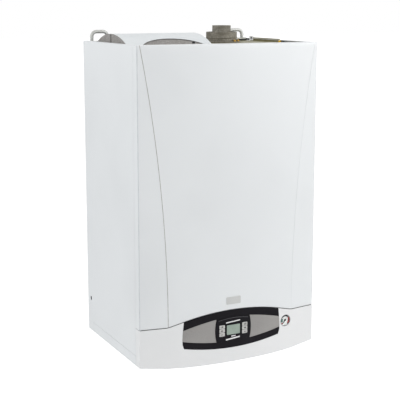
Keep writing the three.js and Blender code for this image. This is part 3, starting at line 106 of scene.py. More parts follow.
def linear(r, g, b):
    """A colour given as 0-255 screen values, as the shader takes it."""

    def one(v):
        v /= 255
        return v / 12.92 if v <= 0.04045 else ((v + 0.055) / 1.055) ** 2.4

    return (one(r), one(g), one(b), 1.0)


class Surface:
    """A Principled material whose colour, roughness and bump come from procedural textures."""

    def __init__(self, name, colour, roughness, metallic=0.0, specular=0.5, coat=0.0, coat_roughness=0.1):
        self.material = bpy.data.materials.new(name)
        self.material.use_nodes = True
        self.tree = self.material.node_tree
        self.shader = self.tree.nodes["Principled BSDF"]
        self.colour = linear(*colour)
        self.set("Base Color", self.colour)
        self.set("Roughness", roughness)
        self.set("Metallic", metallic)
        self.set("Specular IOR Level", specular)
        self.set("Coat Weight", coat)
        self.set("Coat Roughness", coat_roughness)
        self.place = self.tree.nodes.new("ShaderNodeTexCoord").outputs["Object"]
        self.last_colour = None
        self.last_height = None

    def set(self, socket, value):
        self.shader.inputs[socket].default_value = value
        return self

    def node(self, kind, **settings):
        made = self.tree.nodes.new(kind)
        for key, value in settings.items():
            if key in made.inputs:
                made.inputs[key].default_value = value
            else:
                setattr(made, key, value)
        return made

    def link(self, a, b):
        self.tree.links.new(a, b)

    def stretched(self, scale):
        """Texture places, stretched by a factor along each axis."""
        mapping = self.node("ShaderNodeMapping")
        mapping.inputs["Scale"].default_value = scale
        self.link(self.place, mapping.inputs["Vector"])
        return mapping.outputs["Vector"]

    def noise(self, scale, detail=3.0, roughness=0.5, stretch=None):
        made = self.node("ShaderNodeTexNoise", Scale=scale, Detail=detail, Roughness=roughness)
        self.link(self.stretched(stretch) if stretch else self.place, made.inputs["Vector"])
        return made.outputs["Fac"]

    def cells(self, scale, randomness=1.0, colour=False):
        made = self.node("ShaderNodeTexVoronoi", Scale=scale, Randomness=randomness)
        self.link(self.place, made.inputs["Vector"])
        return made.outputs["Color" if colour else "Distance"]

    def remap(self, value, low, high, to_low=0.0, to_high=1.0):
        made = self.node("ShaderNodeMapRange")
        ends = {"From Min": low, "From Max": high, "To Min": to_low, "To Max": to_high}
        for socket, number in ends.items():
            made.inputs[socket].default_value = number
        self.link(value, made.inputs["Value"])
        return made.outputs["Result"]

    def tint(self, colour, share):
        """Mixes another colour in, by a share from 0 to 1."""
        mix = self.node("ShaderNodeMix", data_type="RGBA")
        self.link(share, mix.inputs["Factor"])
        if self.last_colour is None:
            mix.inputs["A"].default_value = self.colour
        else:
            self.link(self.last_colour, mix.inputs["A"])
        mix.inputs["B"].default_value = linear(*colour)
        self.last_colour = mix.outputs["Result"]
        self.link(self.last_colour, self.shader.inputs["Base Color"])
        return self

    def rough(self, value, low, high, to_low, to_high):
        self.link(self.remap(value, low, high, to_low, to_high), self.shader.inputs["Roughness"])
        return self

    def bump(self, height, depth, strength=1.0):
        """Adds relief of a depth in metres."""
        made = self.node("ShaderNodeBump", Strength=strength, Distance=depth)
        self.link(height, made.inputs["Height"])
        if self.last_height is not None:
            self.link(self.last_height, made.inputs["Normal"])
        self.last_height = made.outputs["Normal"]
        self.link(self.last_height, self.shader.inputs["Normal"])
        return self


def sheen_of(s, colour, low=0.45, high=0.75, scale=5.0, amount=1.0):
    """Slow drift of colour over a surface."""
    return s.tint(colour, s.remap(s.noise(scale, 2.0), low, high, 0.0, amount))


def enamel():
    s = Surface("enamel", (232, 235, 237), 0.36, specular=0.42, coat=0.15, coat_roughness=0.22)
    sheen_of(s, (227, 230, 232), scale=3.0)
    s.rough(s.noise(60.0, 3.0), 0.3, 0.7, 0.32, 0.42)
    s.bump(s.noise(520.0, 2.0), 0.00006, 0.35)
    return s.bump(s.noise(9.0, 1.0), 0.0006, 0.10)


def enamel_crease_shade():
    """Painted shade in the left crease's groove: a darker enamel standing in for the shade that falls
    there.
    """
    s = Surface("enamel_crease_shade", (168, 164, 160), 0.55)
    s.tint((150, 145, 140), s.remap(s.noise(90.0, 3.0), 0.4, 0.7))
    return s.bump(s.noise(500.0, 2.0), 0.00008, 0.4)


def enamel_fold_shade():
    """Painted shade over the front panel's folded edges: an enamel darker than its face, standing in for
    the shade on the rounding.
    """
    s = Surface("enamel_fold_shade", (213, 217, 220), 0.4)
    s.tint((206, 210, 213), s.remap(s.noise(40.0, 3.0), 0.4, 0.7))
    return s.bump(s.noise(500.0, 2.0), 0.00006, 0.35)


def fascia_plastic():
    s = Surface("fascia_plastic", (235, 236, 237), 0.44, specular=0.4)
    sheen_of(s, (230, 232, 233), scale=4.0)
    s.rough(s.noise(80.0, 3.0), 0.3, 0.7, 0.40, 0.50)
    return s.bump(s.noise(1400.0, 2.0), 0.00005, 0.5)


def black_gloss():
    s = Surface("black_gloss", (19, 17, 22), 0.36, specular=0.14, coat=0.03, coat_roughness=0.12)
    sheen_of(s, (26, 24, 29), scale=9.0)
    s.rough(s.noise(120.0, 4.0), 0.3, 0.7, 0.28, 0.38)
    return s.bump(s.noise(1600.0, 2.0), 0.00003, 0.4)


def wing_silver():
    s = Surface("wing_silver", (160, 158, 156), 0.46, metallic=0.5, specular=0.4)
    s.tint((144, 142, 140), s.remap(s.noise(700.0, 2.0), 0.35, 0.65, 0.0, 0.8))
    s.tint((172, 170, 168), s.remap(s.noise(6.0, 1.0), 0.45, 0.7, 0.0, 0.5))
    s.rough(s.noise(400.0, 2.0), 0.3, 0.7, 0.42, 0.54)
    return s.bump(s.noise(2200.0, 2.0), 0.00004, 0.5)


def galvanised():
    s = Surface("galvanised", (176, 177, 172), 0.42, metallic=0.85)
    s.tint((150, 151, 147), s.remap(s.cells(110.0, colour=True), 0.2, 0.8, 0.0, 0.9))
    s.tint((193, 194, 190), s.remap(s.noise(20.0, 4.0), 0.5, 0.75, 0.0, 0.5))
    s.rough(s.cells(110.0, colour=True), 0.0, 1.0, 0.34, 0.52)
    return s.bump(s.noise(300.0, 3.0), 0.00008, 0.3)


def zinc_olive():
    s = Surface("zinc_olive", (132, 128, 100), 0.46, metallic=0.6)
    s.tint((104, 98, 70), s.remap(s.noise(24.0, 4.0), 0.42, 0.7, 0.0, 0.9))
    s.tint((158, 150, 112), s.remap(s.noise(9.0, 2.0), 0.52, 0.75, 0.0, 0.7))
    s.rough(s.noise(60.0, 3.0), 0.3, 0.7, 0.38, 0.56)
    return s.bump(s.noise(400.0, 3.0), 0.00006, 0.3)


def steel():
    s = Surface("steel", (186, 188, 189), 0.32, metallic=0.95)
    s.tint((160, 162, 164), s.remap(s.noise(220.0, 2.0, stretch=(1, 1, 0.05)), 0.35, 0.65))
    s.rough(s.noise(50.0, 3.0), 0.3, 0.7, 0.26, 0.42)
    return s.bump(s.noise(500.0, 2.0, stretch=(1, 1, 0.05)), 0.00003, 0.4)


def cast():
    s = Surface("cast", (140, 136, 126), 0.62, metallic=0.35, specular=0.35)
    s.tint((94, 91, 83), s.remap(s.noise(260.0, 4.0, 0.65), 0.48, 0.66, 0.0, 0.9))
    s.tint((180, 176, 165), s.remap(s.noise(420.0, 3.0, 0.6), 0.56, 0.72, 0.0, 0.8))
    s.tint((112, 108, 97), s.remap(s.noise(34.0, 3.0, stretch=(1, 1, 4)), 0.46, 0.66, 0.0, 0.8))
    s.rough(s.noise(200.0, 4.0), 0.3, 0.7, 0.52, 0.76)
    return s.bump(s.noise(380.0, 4.0, 0.6), 0.0006, 0.55)


def foam():
    s = Surface("foam", (180, 177, 174), 0.95, specular=0.15)
    s.tint((128, 125, 122), s.remap(s.cells(420.0), 0.25, 0.5, 0.0, 0.8))
    s.tint((222, 220, 218), s.remap(s.noise(520.0, 3.0, 0.65), 0.56, 0.68, 0.0, 0.9))
    s.tint((146, 142, 138), s.remap(s.noise(45.0, 3.0), 0.5, 0.7, 0.0, 0.6))
    s.rough(s.noise(300.0, 3.0), 0.3, 0.7, 0.88, 1.0)
    return s.bump(s.cells(420.0), 0.0012, 0.6)


def cover_plastic():
    s = Surface("cover_plastic", (229, 233, 235), 0.5, specular=0.4)
    sheen_of(s, (220, 225, 228), scale=7.0)
    s.rough(s.noise(70.0, 3.0), 0.3, 0.7, 0.44, 0.58)
    return s.bump(s.noise(900.0, 2.0), 0.0001, 0.4)


def copper():
    s = Surface("copper", (190, 118, 84), 0.32, metallic=0.95)
    s.tint((128, 74, 52), s.remap(s.noise(32.0, 4.0), 0.48, 0.72, 0.0, 0.85))
    s.tint((110, 92, 84), s.remap(s.noise(14.0, 3.0), 0.58, 0.8, 0.0, 0.6))
    s.rough(s.noise(40.0, 4.0), 0.3, 0.7, 0.24, 0.48)
    return s.bump(s.noise(240.0, 3.0), 0.00008, 0.35)


def brass():
    s = Surface("brass", (196, 160, 84), 0.32, metallic=0.95)
    s.tint((150, 118, 58), s.remap(s.noise(60.0, 4.0), 0.45, 0.7, 0.0, 0.8))
    s.rough(s.noise(90.0, 3.0), 0.3, 0.7, 0.25, 0.45)
    return s.bump(s.noise(500.0, 3.0), 0.00006, 0.35)


def plastic(name, colour, second, roughness=0.45, grain=1200.0, specular=0.45):
    s = Surface(name, colour, roughness, specular=specular)
    s.tint(second, s.remap(s.noise(12.0, 3.0), 0.42, 0.7, 0.0, 0.8))
    s.rough(s.noise(90.0, 3.0), 0.3, 0.7, roughness - 0.06, roughness + 0.08)
    return s.bump(s.noise(grain, 2.0), 0.00006, 0.45)


def paint(name, colour, second, roughness=0.42):
    s = Surface(name, colour, roughness, specular=0.45, coat=0.2, coat_roughness=0.25)
    s.tint(second, s.remap(s.noise(10.0, 3.0), 0.42, 0.7, 0.0, 0.8))
    s.rough(s.noise(70.0, 3.0), 0.3, 0.7, roughness - 0.05, roughness + 0.08)
    return s.bump(s.noise(420.0, 2.0), 0.00008, 0.35)


def fibre():
    s = Surface("fibre", (206, 200, 186), 0.95, specular=0.15)
    s.tint((176, 168, 150), s.remap(s.noise(160.0, 4.0, 0.6, stretch=(1, 1, 6)), 0.45, 0.65))
    s.rough(s.noise(90.0, 3.0), 0.3, 0.7, 0.88, 1.0)
    return s.bump(s.noise(260.0, 4.0, stretch=(1, 1, 6)), 0.0008, 0.5)


def board():
    s = Surface("board", (38, 92, 58), 0.42, specular=0.4)
    s.tint((66, 124, 84), s.remap(s.cells(240.0, 0.2), 0.12, 0.16, 0.0, 0.8))
    s.tint((24, 66, 42), s.remap(s.noise(120.0, 2.0, stretch=(1, 1, 0.1)), 0.5, 0.55, 0.0, 0.7))
    s.rough(s.noise(60.0, 2.0), 0.3, 0.7, 0.36, 0.5)
    return s.bump(s.cells(240.0, 0.2), 0.0002, 0.3)


def display():
    s = Surface("display", (164, 178, 168), 0.3, specular=0.3, coat=0.12, coat_roughness=0.1)
    s.tint((152, 168, 158), s.remap(s.noise(26.0, 2.0), 0.4, 0.7, 0.0, 0.9))
    s.tint((140, 156, 142), s.remap(s.cells(1500.0, 0.0), 0.42, 0.5, 0.0, 0.5))
    return s.rough(s.noise(60.0, 2.0), 0.3, 0.7, 0.26, 0.36)


def glass():
    s = Surface("lens_glass", (250, 252, 252), 0.04, specular=0.3)
    s.set("Transmission Weight", 1.0)
    s.set("IOR", 1.12)
    s.rough(s.noise(60.0, 2.0), 0.3, 0.7, 0.02, 0.06)
    return s.bump(s.noise(80.0, 1.0), 0.00004, 0.1)


LOOKS = {
    "enamel": enamel(),
    "fascia_plastic": fascia_plastic(),
    "black_gloss": black_gloss(),
    "wing_silver": wing_silver(),
    "galvanised": galvanised(),
    "zinc_passivated": zinc_olive(),
    "steel": steel(),
    "cast": cast(),
    "foam": foam(),
    "cover_plastic": cover_plastic(),
    "copper": copper(),
    "brass": brass(),
    "fibre": fibre(),
    "board": board(),
    "display": display(),
    "clear": glass(),
    "box_plastic": plastic("box_plastic", (216, 219, 221), (206, 209, 212)),
    "key_silver": plastic("key_silver", (204, 203, 201), (188, 187, 186), 0.4),
    "gauge_ring": plastic("gauge_ring", (150, 151, 153), (128, 129, 132), 0.36),
    "gauge_face": plastic("gauge_face", (243, 243, 241), (236, 236, 234), 0.55),
    "gauge_black": plastic("gauge_black", (26, 27, 30), (36, 37, 40), 0.42),
    "sight_glass": plastic("sight_glass", (122, 130, 128), (96, 104, 102), 0.14),
    "burner_steel": plastic("burner_steel", (150, 150, 149), (122, 118, 112), 0.4),
    "motor": paint("motor", (60, 62, 65), (48, 50, 53)),
    "valve_body": paint("valve_body", (168, 170, 172), (150, 152, 154), 0.5),
    "vessel_red": paint("vessel_red", (176, 56, 44), (152, 44, 36)),
    "cast_iron": paint("cast_iron", (72, 75, 77), (56, 58, 60), 0.6),
    "impeller": plastic("impeller", (214, 196, 150), (200, 180, 132)),
    "motor_black": plastic("motor_black", (46, 48, 51), (36, 38, 41)),
    "knob_red": plastic("knob_red", (176, 38, 32), (152, 30, 26), 0.4),
    "knob_black": plastic("knob_black", (36, 38, 42), (28, 30, 34), 0.42),
    # black for the clips and stops, and for the strips that paint shade into gaps and slots
    "black_seal_and_shade": plastic("black_seal_and_shade", (30, 31, 33), (42, 43, 45), 0.7),
    "tape_black": plastic("tape_black", (40, 39, 38), (52, 51, 50), 0.6),
    "plate_silver": plastic("plate_silver", (206, 207, 206), (192, 193, 193), 0.35),
    "loop_zinc": paint("loop_zinc", (198, 199, 196), (176, 177, 173), 0.5),
    "screw_yellow": paint("screw_yellow", (226, 186, 62), (196, 150, 44), 0.35),
    "print_black": plastic("print_black", (24, 24, 26), (34, 34, 36), 0.5),
    "print_light": plastic("print_light", (238, 238, 238), (226, 226, 227), 0.5),
    # the painted highlight's grey, for the line along the control unit's top edge
    "highlight_grey": plastic("highlight_grey", (88, 88, 92), (76, 76, 80), 0.4),
    "print_red": plastic("print_red", (176, 46, 44), (160, 38, 38), 0.5),
    "print_green": plastic("print_green", (34, 104, 92), (28, 92, 82), 0.5),
}
METALLIC = {"burner_steel": 0.7, "valve_body": 0.7, "cast_iron": 0.7, "loop_zinc": 0.4, "screw_yellow": 0.4}
for metal, share in METALLIC.items():
    LOOKS[metal].set("Metallic", share)
# line: the darker enamel that paints shade into the left crease's groove.
LOOKS["line"] = enamel_crease_shade()
# fold: the darker enamel that paints shade onto the folded edges.
LOOKS["fold"] = enamel_fold_shade()


def skin(obj, look):
    obj.data.materials.clear()
    obj.data.materials.append(LOOKS[look].material)
    return obj


# ---- Finishing the CAD pieces ------------------------------------------------------------------


def smoothing(angle):
    """Smooth shading with sharp edges above an angle in degrees, as a modifier's node group."""
    name = f"smooth_{angle}"
    if name in bpy.data.node_groups:
        return bpy.data.node_groups[name]
    group = bpy.data.node_groups.new(name, "GeometryNodeTree")
    group.interface.new_socket("Geometry", in_out="INPUT", socket_type="NodeSocketGeometry")
    group.interface.new_socket("Geometry", in_out="OUTPUT", socket_type="NodeSocketGeometry")
    add, link = group.nodes.new, group.links.new
    bare = add("GeometryNodeRemoveAttribute")
    bare.inputs["Name"].default_value = "custom_normal"
    faces = add("GeometryNodeSetShadeSmooth")
    edges = add("GeometryNodeSetShadeSmooth")
    edges.domain = "EDGE"
    edges.inputs["Shade Smooth"].default_value = False
    bend = add("GeometryNodeInputMeshEdgeAngle")
    sharp = add("FunctionNodeCompare")
    sharp.operation = "GREATER_THAN"
    sharp.inputs["B"].default_value = math.radians(angle)
    link(bend.outputs["Unsigned Angle"], sharp.inputs["A"])
    link(add("NodeGroupInput").outputs[0], bare.inputs["Geometry"])
    link(bare.outputs["Geometry"], faces.inputs["Geometry"])
    link(faces.outputs["Geometry"], edges.inputs["Geometry"])
    link(sharp.outputs["Result"], edges.inputs["Selection"])
    link(edges.outputs["Geometry"], add("NodeGroupOutput").inputs[0])
    return group


def finish_edges(obj, bevel=0.0, angle=32, flat=0.6):
    """Joins coplanar triangles, rounds the edges and smooths what lies between."""
    weld = obj.modifiers.new("weld", "WELD")
    weld.merge_threshold = 1e-6
    if bevel:
        planes = obj.modifiers.new("planes", "DECIMATE")
        planes.decimate_type = "DISSOLVE"
        planes.angle_limit = math.radians(flat)
        rounded = obj.modifiers.new("rounded", "BEVEL")
        rounded.width = bevel / 1000
        rounded.segments = 2
        rounded.limit_method = "ANGLE"
        rounded.angle_limit = math.radians(angle)
        rounded.use_clamp_overlap = True
    shade = obj.modifiers.new("shade", "NODES")
    shade.node_group = smoothing(angle)
    if bevel:
        obj.modifiers.new("even", "WEIGHTED_NORMAL").keep_sharp = True
    return obj


SLOTS = {row["node"]: row["material_slot"] for row in frame["record"]["subparts"]}
BEVELS = {
    "side_panel_left": 0.5,
    "side_panel_right": 0.5,
    "trim_panel": 0.35,
    "wing_left": 0.25,
    "wing_right": 0.25,
    "controller_body": 0.5,
    "fascia": 0.6,
    "tank_cover": 0.8,
    "flue_collar": 0.5,
    "flue_spigot": 0.4,
    "gas_valve": 0.8,
    "control_box": 0.5,
    "gauge_case": 0.25,
}
for node, obj in nodes.items():
    skin(obj, "loop_zinc" if node.startswith("hanging_loop") else SLOTS[node])
    bevel = 0.3 if node.startswith("key_") else BEVELS.get(node, 0.0)
    finish_edges(obj, bevel)


# ---- New pieces --------------------------------------------------------------------------------


def piece(name, vertices, faces, body, look, marks=None):
    """A mesh piece in casing millimetres that rides on a body; marks are faces with a look of their own."""
    mesh = bpy.data.meshes.new(name)
    mesh.from_pydata([place(*v) for v in vertices], [], faces)
    mesh.materials.append(LOOKS[look].material)
    for number, (mark, indices) in enumerate((marks or {}).items(), 1):
        mesh.materials.append(LOOKS[mark].material)
        for index in indices:
            mesh.polygons[index].material_index = number
    mesh.validate()
    obj = bpy.data.objects.new(name, mesh)
    bpy.context.scene.collection.objects.link(obj)
    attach(obj, body)
    return obj


GROOVE = 0.8  # half-width of a crease's groove
GROOVE_DEPTH = 0.7
FOLD_ROUND = 3.0
FOLD_SHADE = 0.5  # the rounding takes the darker enamel, painted shade, beyond this distance from its edge
EDGE_ROUND = 2.0
LIP = 12.0
HOOK_X = 180.0
HOOK_REACH = 22.0
HOOK_SLOT = (-410.0, -406.2)
MIDDLE_COLUMNS = 45
RISE_ROWS = 40
GROOVE_RUN_OUT = 10.0  # the grooves fade out over this height at both ends
SHEET = 0.0012


def rounded_drop(distance, radius):
    """How far an edge of that radius lies behind its face, at a distance from the edge."""
    if distance >= radius:
        return 0.0
    return radius - math.sqrt(max(0.0, radius**2 - (radius - distance) ** 2))


def rounding(radius, steps):
    return [radius * (1 - math.cos(math.pi / 2 * k / steps)) for k in range(steps + 1)]


def panel_columns():
    """Each column as a way to find x from the crease's half-width: (side, kind, number)."""
    left = [("fold", d) for d in rounding(FOLD_ROUND, 5)]
    left += [("facet", s) for s in (0.25, 0.5, 0.75)]
    left += [("crease", GROOVE), ("crease", 0.0), ("crease", -GROOVE)]
    slots = [(HOOK_X + s * HOOK_REACH) / (HALF_WIDTH - FACET_HEAD) for s in (-1, 1)]
    even = set(np.round(np.linspace(-0.97, 0.97, MIDDLE_COLUMNS), 5))
    shares = sorted(even | {s * k for s in (-1, 1) for k in slots})
    middle = [(0, "share", s) for s in shares]
    return [(-1, k, v) for k, v in left] + middle + [(1, k, v) for k, v in reversed(left)]


def column_x(column, crease):
    side, kind, value = column
    if kind == "fold":
        return side * (HALF_WIDTH - value)
    if kind == "facet":
        outer, inner = HALF_WIDTH - FOLD_ROUND, crease + GROOVE
        return side * (outer + (inner - outer) * value)
    if kind == "crease":
        return side * (crease + value)
    return value * crease


def front_panel():
    """The bowed sheet with its two pressed creases, rounded folds, four turned-back sides and rear lip."""
    columns = panel_columns()
    foot_rows = rounding(EDGE_ROUND, 4)
    rows = [("foot", d) for d in foot_rows] + [("rise", s) for s in np.linspace(0.02, 0.98, RISE_ROWS)]
    rows += [("head", d) for d in reversed(foot_rows)]
    points = []
    for column in columns:
        for kind, value in rows:
            z = CASING_HEIGHT / 2
            for _ in range(6):  # x and the height depend on each other, and settle in a few rounds
                x = column_x(column, crease_half(z))
                foot = seam_z(x) + SEAM_GAP / 2
                if kind == "foot":
                    z = foot + value
                elif kind == "head":
                    z = CASING_HEIGHT - value
                else:
                    z = foot + (CASING_HEIGHT - foot) * value
            y = front_y(x, crease_half(z))
            y += rounded_drop(HALF_WIDTH - abs(x), FOLD_ROUND)
            y += rounded_drop(min(z - foot, CASING_HEIGHT - z), EDGE_ROUND)
            if column[1] == "crease" and column[2] == 0.0:
                to_head, to_foot = CASING_HEIGHT - z, z - foot
                y += GROOVE_DEPTH * min(1.0, to_head / GROOVE_RUN_OUT, to_foot / GROOVE_RUN_OUT)
            points.append((x, y, z))
    wide, high = len(columns), len(rows)
    at = lambda i, j: i * high + j
    faces, marks = [], {"line": [], "fold": []}
    for i in range(wide - 1):
        kinds = {columns[i][1], columns[i + 1][1]}
        mark = None
        # Only the left crease's groove takes the darker enamel, as painted shade; the right crease stays
        # plain enamel.
        if kinds == {"crease"} and columns[i][0] < 0:
            mark = "line"
        # The folds' roundings take the darker enamel, as painted shade.
        elif kinds == {"fold"} and min(columns[i][2], columns[i + 1][2]) > FOLD_SHADE:
            mark = "fold"
        for j in range(high - 1):
            if mark:
                marks[mark].append(len(faces))
            faces.append((at(i, j), at(i + 1, j), at(i + 1, j + 1), at(i, j + 1)))
    loop = [(i, 0) for i in range(wide)] + [(wide - 1, j) for j in range(1, high)]
    loop += [(i, high - 1) for i in range(wide - 2, -1, -1)] + [(0, j) for j in range(high - 2, 0, -1)]
    rings = [[at(i, j) for i, j in loop]]
    for depth, inset in ((HOOK_SLOT[0], 0), (HOOK_SLOT[1], 0), (COVER_REAR, 0), (COVER_REAR, LIP)):
        ring = []
        for i, j in loop:
            x, _, z = points[at(i, j)]
            if i in (0, wide - 1):
                x -= math.copysign(inset, x)
            elif inset:
                x = max(-HALF_WIDTH + inset, min(HALF_WIDTH - inset, x))
            if j == 0:
                z += inset
            elif j == high - 1:
                z -= inset
            ring.append(len(points))
            points.append((x, depth, z))
        rings.append(ring)
    count = len(loop)
    for k in range(len(rings) - 1):
        for n in range(count):
            m = (n + 1) % count
            x = (points[rings[0][n]][0] + points[rings[0][m]][0]) / 2
            top = loop[n][1] == high - 1 and loop[m][1] == high - 1
            if top and k in (1, 3) and abs(abs(x) - HOOK_X) < HOOK_REACH:
                continue
            faces.append((rings[k][n], rings[k + 1][n], rings[k + 1][m], rings[k][m]))
    made = piece("front_panel_skin", points, faces, "front_door", "enamel", marks)
    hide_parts("front_panel")
    made.modifiers.new("sheet", "SOLIDIFY").thickness = SHEET
    made.modifiers["sheet"].offset = -1.0
    shade = made.modifiers.new("shade", "NODES")
    shade.node_group = smoothing(28)
    return made


front_panel()


BOX_FACES = ((0, 1, 3, 2), (4, 6, 7, 5), (0, 4, 5, 1), (2, 3, 7, 6), (0, 2, 6, 4), (1, 5, 7, 3))


def slabs(name, boxes, body, look):
    """Boxes joined in one piece, each given by its ends along X, Y and Z."""
    vertices, faces = [], []
    for ends in boxes:
        base = len(vertices)
        vertices += [(x, y, z) for x in ends[:2] for y in ends[2:4] for z in ends[4:]]
        faces += [tuple(base + k for k in face) for face in BOX_FACES]
    return piece(name, vertices, faces, body, look)


def plate(name, ends, low, high, surface, band, body, look, slot, corner=0.0, columns=12):
    """A plate on a bowed surface between two heights, which may depend on x; band is counted backwards."""

    def level(value, x):
        return value(x) if callable(value) else value

    turns = rounding(corner, 3)[:-1] if corner else []
    middle = np.linspace(ends[0] + corner, ends[1] - corner, columns + 1)
    columns_x = [ends[0] + d for d in turns] + list(middle) + [ends[1] - d for d in reversed(turns)]
    vertices, faces = [], []
    for x in columns_x:
        inset = rounded_drop(max(0.0, min(x - ends[0], ends[1] - x)), corner) if corner else 0.0
        z0, z1 = level(low, x) + inset, level(high, x) - inset
        for z, back in ((z0, band[0]), (z1, band[0]), (z1, band[1]), (z0, band[1])):
            vertices.append((x, surface(x, z) + back, z))
    for i in range(len(columns_x) - 1):
        a, b = 4 * i, 4 * (i + 1)
        faces += [(a + k, b + k, b + (k + 1) % 4, a + (k + 1) % 4) for k in range(4)]
    last = len(vertices) - 4
    faces += [(0, 1, 2, 3), (last + 3, last + 2, last + 1, last)]
    return piece(name, vertices, faces, body, look)


def on_panel(x, z):
    return front_y(x, crease_half(z))


def on_fascia(x, z):
    return fascia_y(x)


# Painted shade: a black strip behind the gap between the side panels and the front panel, standing in for
# the gap's shadow.
GAP_SHADE = (-404.7, -404.1)
GAP_SHADE_SET = 0.8  # behind the sides' faces
GAP_SHADE_WIDTH = 8.0
GAP_SHADE_FOOT = 160.0
gap_shade_outer, gap_shade_top = HALF_WIDTH - GAP_SHADE_SET, CASING_HEIGHT - GAP_SHADE_SET
slabs(
    "front_gap_shade",
    [
        (-gap_shade_outer, GAP_SHADE_WIDTH - gap_shade_outer, *GAP_SHADE, GAP_SHADE_FOOT, gap_shade_top),
        (gap_shade_outer - GAP_SHADE_WIDTH, gap_shade_outer, *GAP_SHADE, GAP_SHADE_FOOT, gap_shade_top),
    ],
    "front_door", "black_seal_and_shade",
)

# The bare plate on the front panel.
BADGE_HALF = 24.5
BADGE = (167.0, 190.0)
BADGE_BAND = (-1.0, 0.4)
plate("badge_plate", (-BADGE_HALF, BADGE_HALF), *BADGE, on_panel, BADGE_BAND, "front_door", "plate_silver",
      "wing_silver", corner=3.0)

# Painted shade: a black strip behind the curved seam, on the fascia's side of it, for the seam gap's
# shadow.
SEAM_SHADE = (-0.8, 0.3)  # its foot and head, from the seam's middle
SEAM_RUN = HALF_WIDTH - 4.0
SEAM_BAND = (0.7, 1.7)
plate("seam_shade", (-SEAM_RUN, SEAM_RUN),
      lambda x: seam_z(x) + SEAM_SHADE[0], lambda x: seam_z(x) + SEAM_SHADE[1],
      on_fascia, SEAM_BAND, "control_panel", "black_seal_and_shade", "fascia_plastic", columns=60)


# ---- The control unit's and the gauge's prints -------------------------------------------------

UNIT_HALF = 55.0
UNIT_HIGH = 126.0
UNIT_CROWN = 6.0
UNIT_PRINT = (-1.3, -1.0)
UNIT_HIGHLIGHT = (-3.0, -1.8)  # the painted highlight's foot and head, from the unit's top edge
UNIT_HIGHLIGHT_INSET = 4.0
KEY_PRINT = (-2.22, -2.0)
KEY_LOW = 69.0
KEY_PITCH = 12.0
KEY_HEIGHT = 10.8
KEY_MIDDLE = 40.0
KEY_MARKS = {
    1: [(-4.0, 4.0, -0.9, 0.9)],
    2: [(-4.0, 4.0, -0.9, 0.9), (-0.9, 0.9, -3.6, 3.6)],
    3: [(-4.0, -2.0, -3.0, 3.0), (1.0, 4.0, -3.0, 3.0)],
}


def unit_bar(name, half, middle, tilt, thickness, shift=0.0):
    """A plain bar on the control unit."""
    ends = (shift - half, shift + half)
    low = lambda x: middle + tilt * x - thickness / 2
    high = lambda x: middle + tilt * x + thickness / 2
    return plate(name, ends, low, high, on_fascia, UNIT_PRINT, "controller", "print_light", "key_silver")


def unit_edge_highlight():
    """A painted highlight: a grey line along the unit's arched top edge."""
    top = lambda x: UNIT_HIGH - UNIT_CROWN * (x / UNIT_HALF) ** 2
    half = UNIT_HALF - UNIT_HIGHLIGHT_INSET
    low, high = (lambda x: top(x) + UNIT_HIGHLIGHT[0]), (lambda x: top(x) + UNIT_HIGHLIGHT[1])
    return plate("unit_edge_highlight", (-half, half), low, high, on_fascia, UNIT_PRINT, "controller", "highlight_grey",
                 "black_gloss")


def key_marks(side, sign, row, bars):
    """A key's plain marks, which ride on the key."""
    x = sign * KEY_MIDDLE
    z = KEY_LOW + (row - 1) * KEY_PITCH + KEY_HEIGHT / 2
    for number, (x0, x1, z0, z1) in enumerate(bars, 1):
        plate(f"key_{side}_{row}_mark_{number}", (x + x0, x + x1), z + z0, z + z1, on_fascia, KEY_PRINT,
              f"key_{side}_{row}_body", "print_black", "black_gloss", columns=3)


unit_bar("unit_bar_upper", 24.0, 111.8, 0.08, 3.4, shift=-1.5)
unit_bar("unit_bar_lower", 24.0, 58.8, 0.1, 4.4, shift=-2.0)
unit_bar("unit_mark_lower", 7.5, 66.0, 0.04, 3.0)
unit_edge_highlight()
for side, sign in (("left", -1), ("right", 1)):
    for row, bars in KEY_MARKS.items():
        key_marks(side, sign, row, bars)

GAUGE_X = 191.5
GAUGE_Z = 84.0
DIAL_PRINT = -2.84  # lift over the fascia, just proud of the dial
DIAL_RIM = 16.6
ARC_INNER = 12.4
ARC_STEP = 8  # degrees
TICK = (8.6, 11.2)
TICK_HALF = 2.2  # degrees
GAUGE_TURN = math.atan2(fascia_y(GAUGE_X + 1) - fascia_y(GAUGE_X - 1), 2.0)


def dial_place(radius, degrees, lift=DIAL_PRINT):
    """A place on the gauge by its angle clockwise from the top and its lift over the fascia."""
    angle = math.radians(degrees)
    across = radius * math.sin(angle)
    return (
        GAUGE_X + across * math.cos(GAUGE_TURN) + lift * math.sin(GAUGE_TURN),
        fascia_y(GAUGE_X) + across * math.sin(GAUGE_TURN) - lift * math.cos(GAUGE_TURN),
        GAUGE_Z + radius * math.cos(angle),
    )


def dial_print(name, look, bands):
    """Arcs and ticks on the dial, each from an inner to an outer radius between two angles."""
    vertices, faces = [], []
    for inner, outer, start, end in bands:
        steps = max(1, round(abs(end - start) / ARC_STEP))
        base = len(vertices)
        for angle in np.linspace(start, end, steps + 1):
            vertices += [dial_place(inner, angle), dial_place(outer, angle)]
        for a in range(base, base + 2 * steps, 2):
            faces.append((a, a + 2, a + 3, a + 1))
    return piece(name, vertices, faces, "control_panel", look)


TICKS = [(*TICK, angle - TICK_HALF, angle + TICK_HALF) for angle in range(-135, 136, 27)]
dial_print("dial_black", "print_black", [(ARC_INNER, DIAL_RIM, -58, 54), (1.5, 3.8, 0, 360)] + TICKS)
dial_print("dial_green", "print_green", [(8.0, DIAL_RIM, -112, -62)])
dial_print("dial_red", "print_red", [(12.0, DIAL_RIM, 58, 140), (11.6, DIAL_RIM, -142, -122)])


# ---- The roof ----------------------------------------------------------------------------------

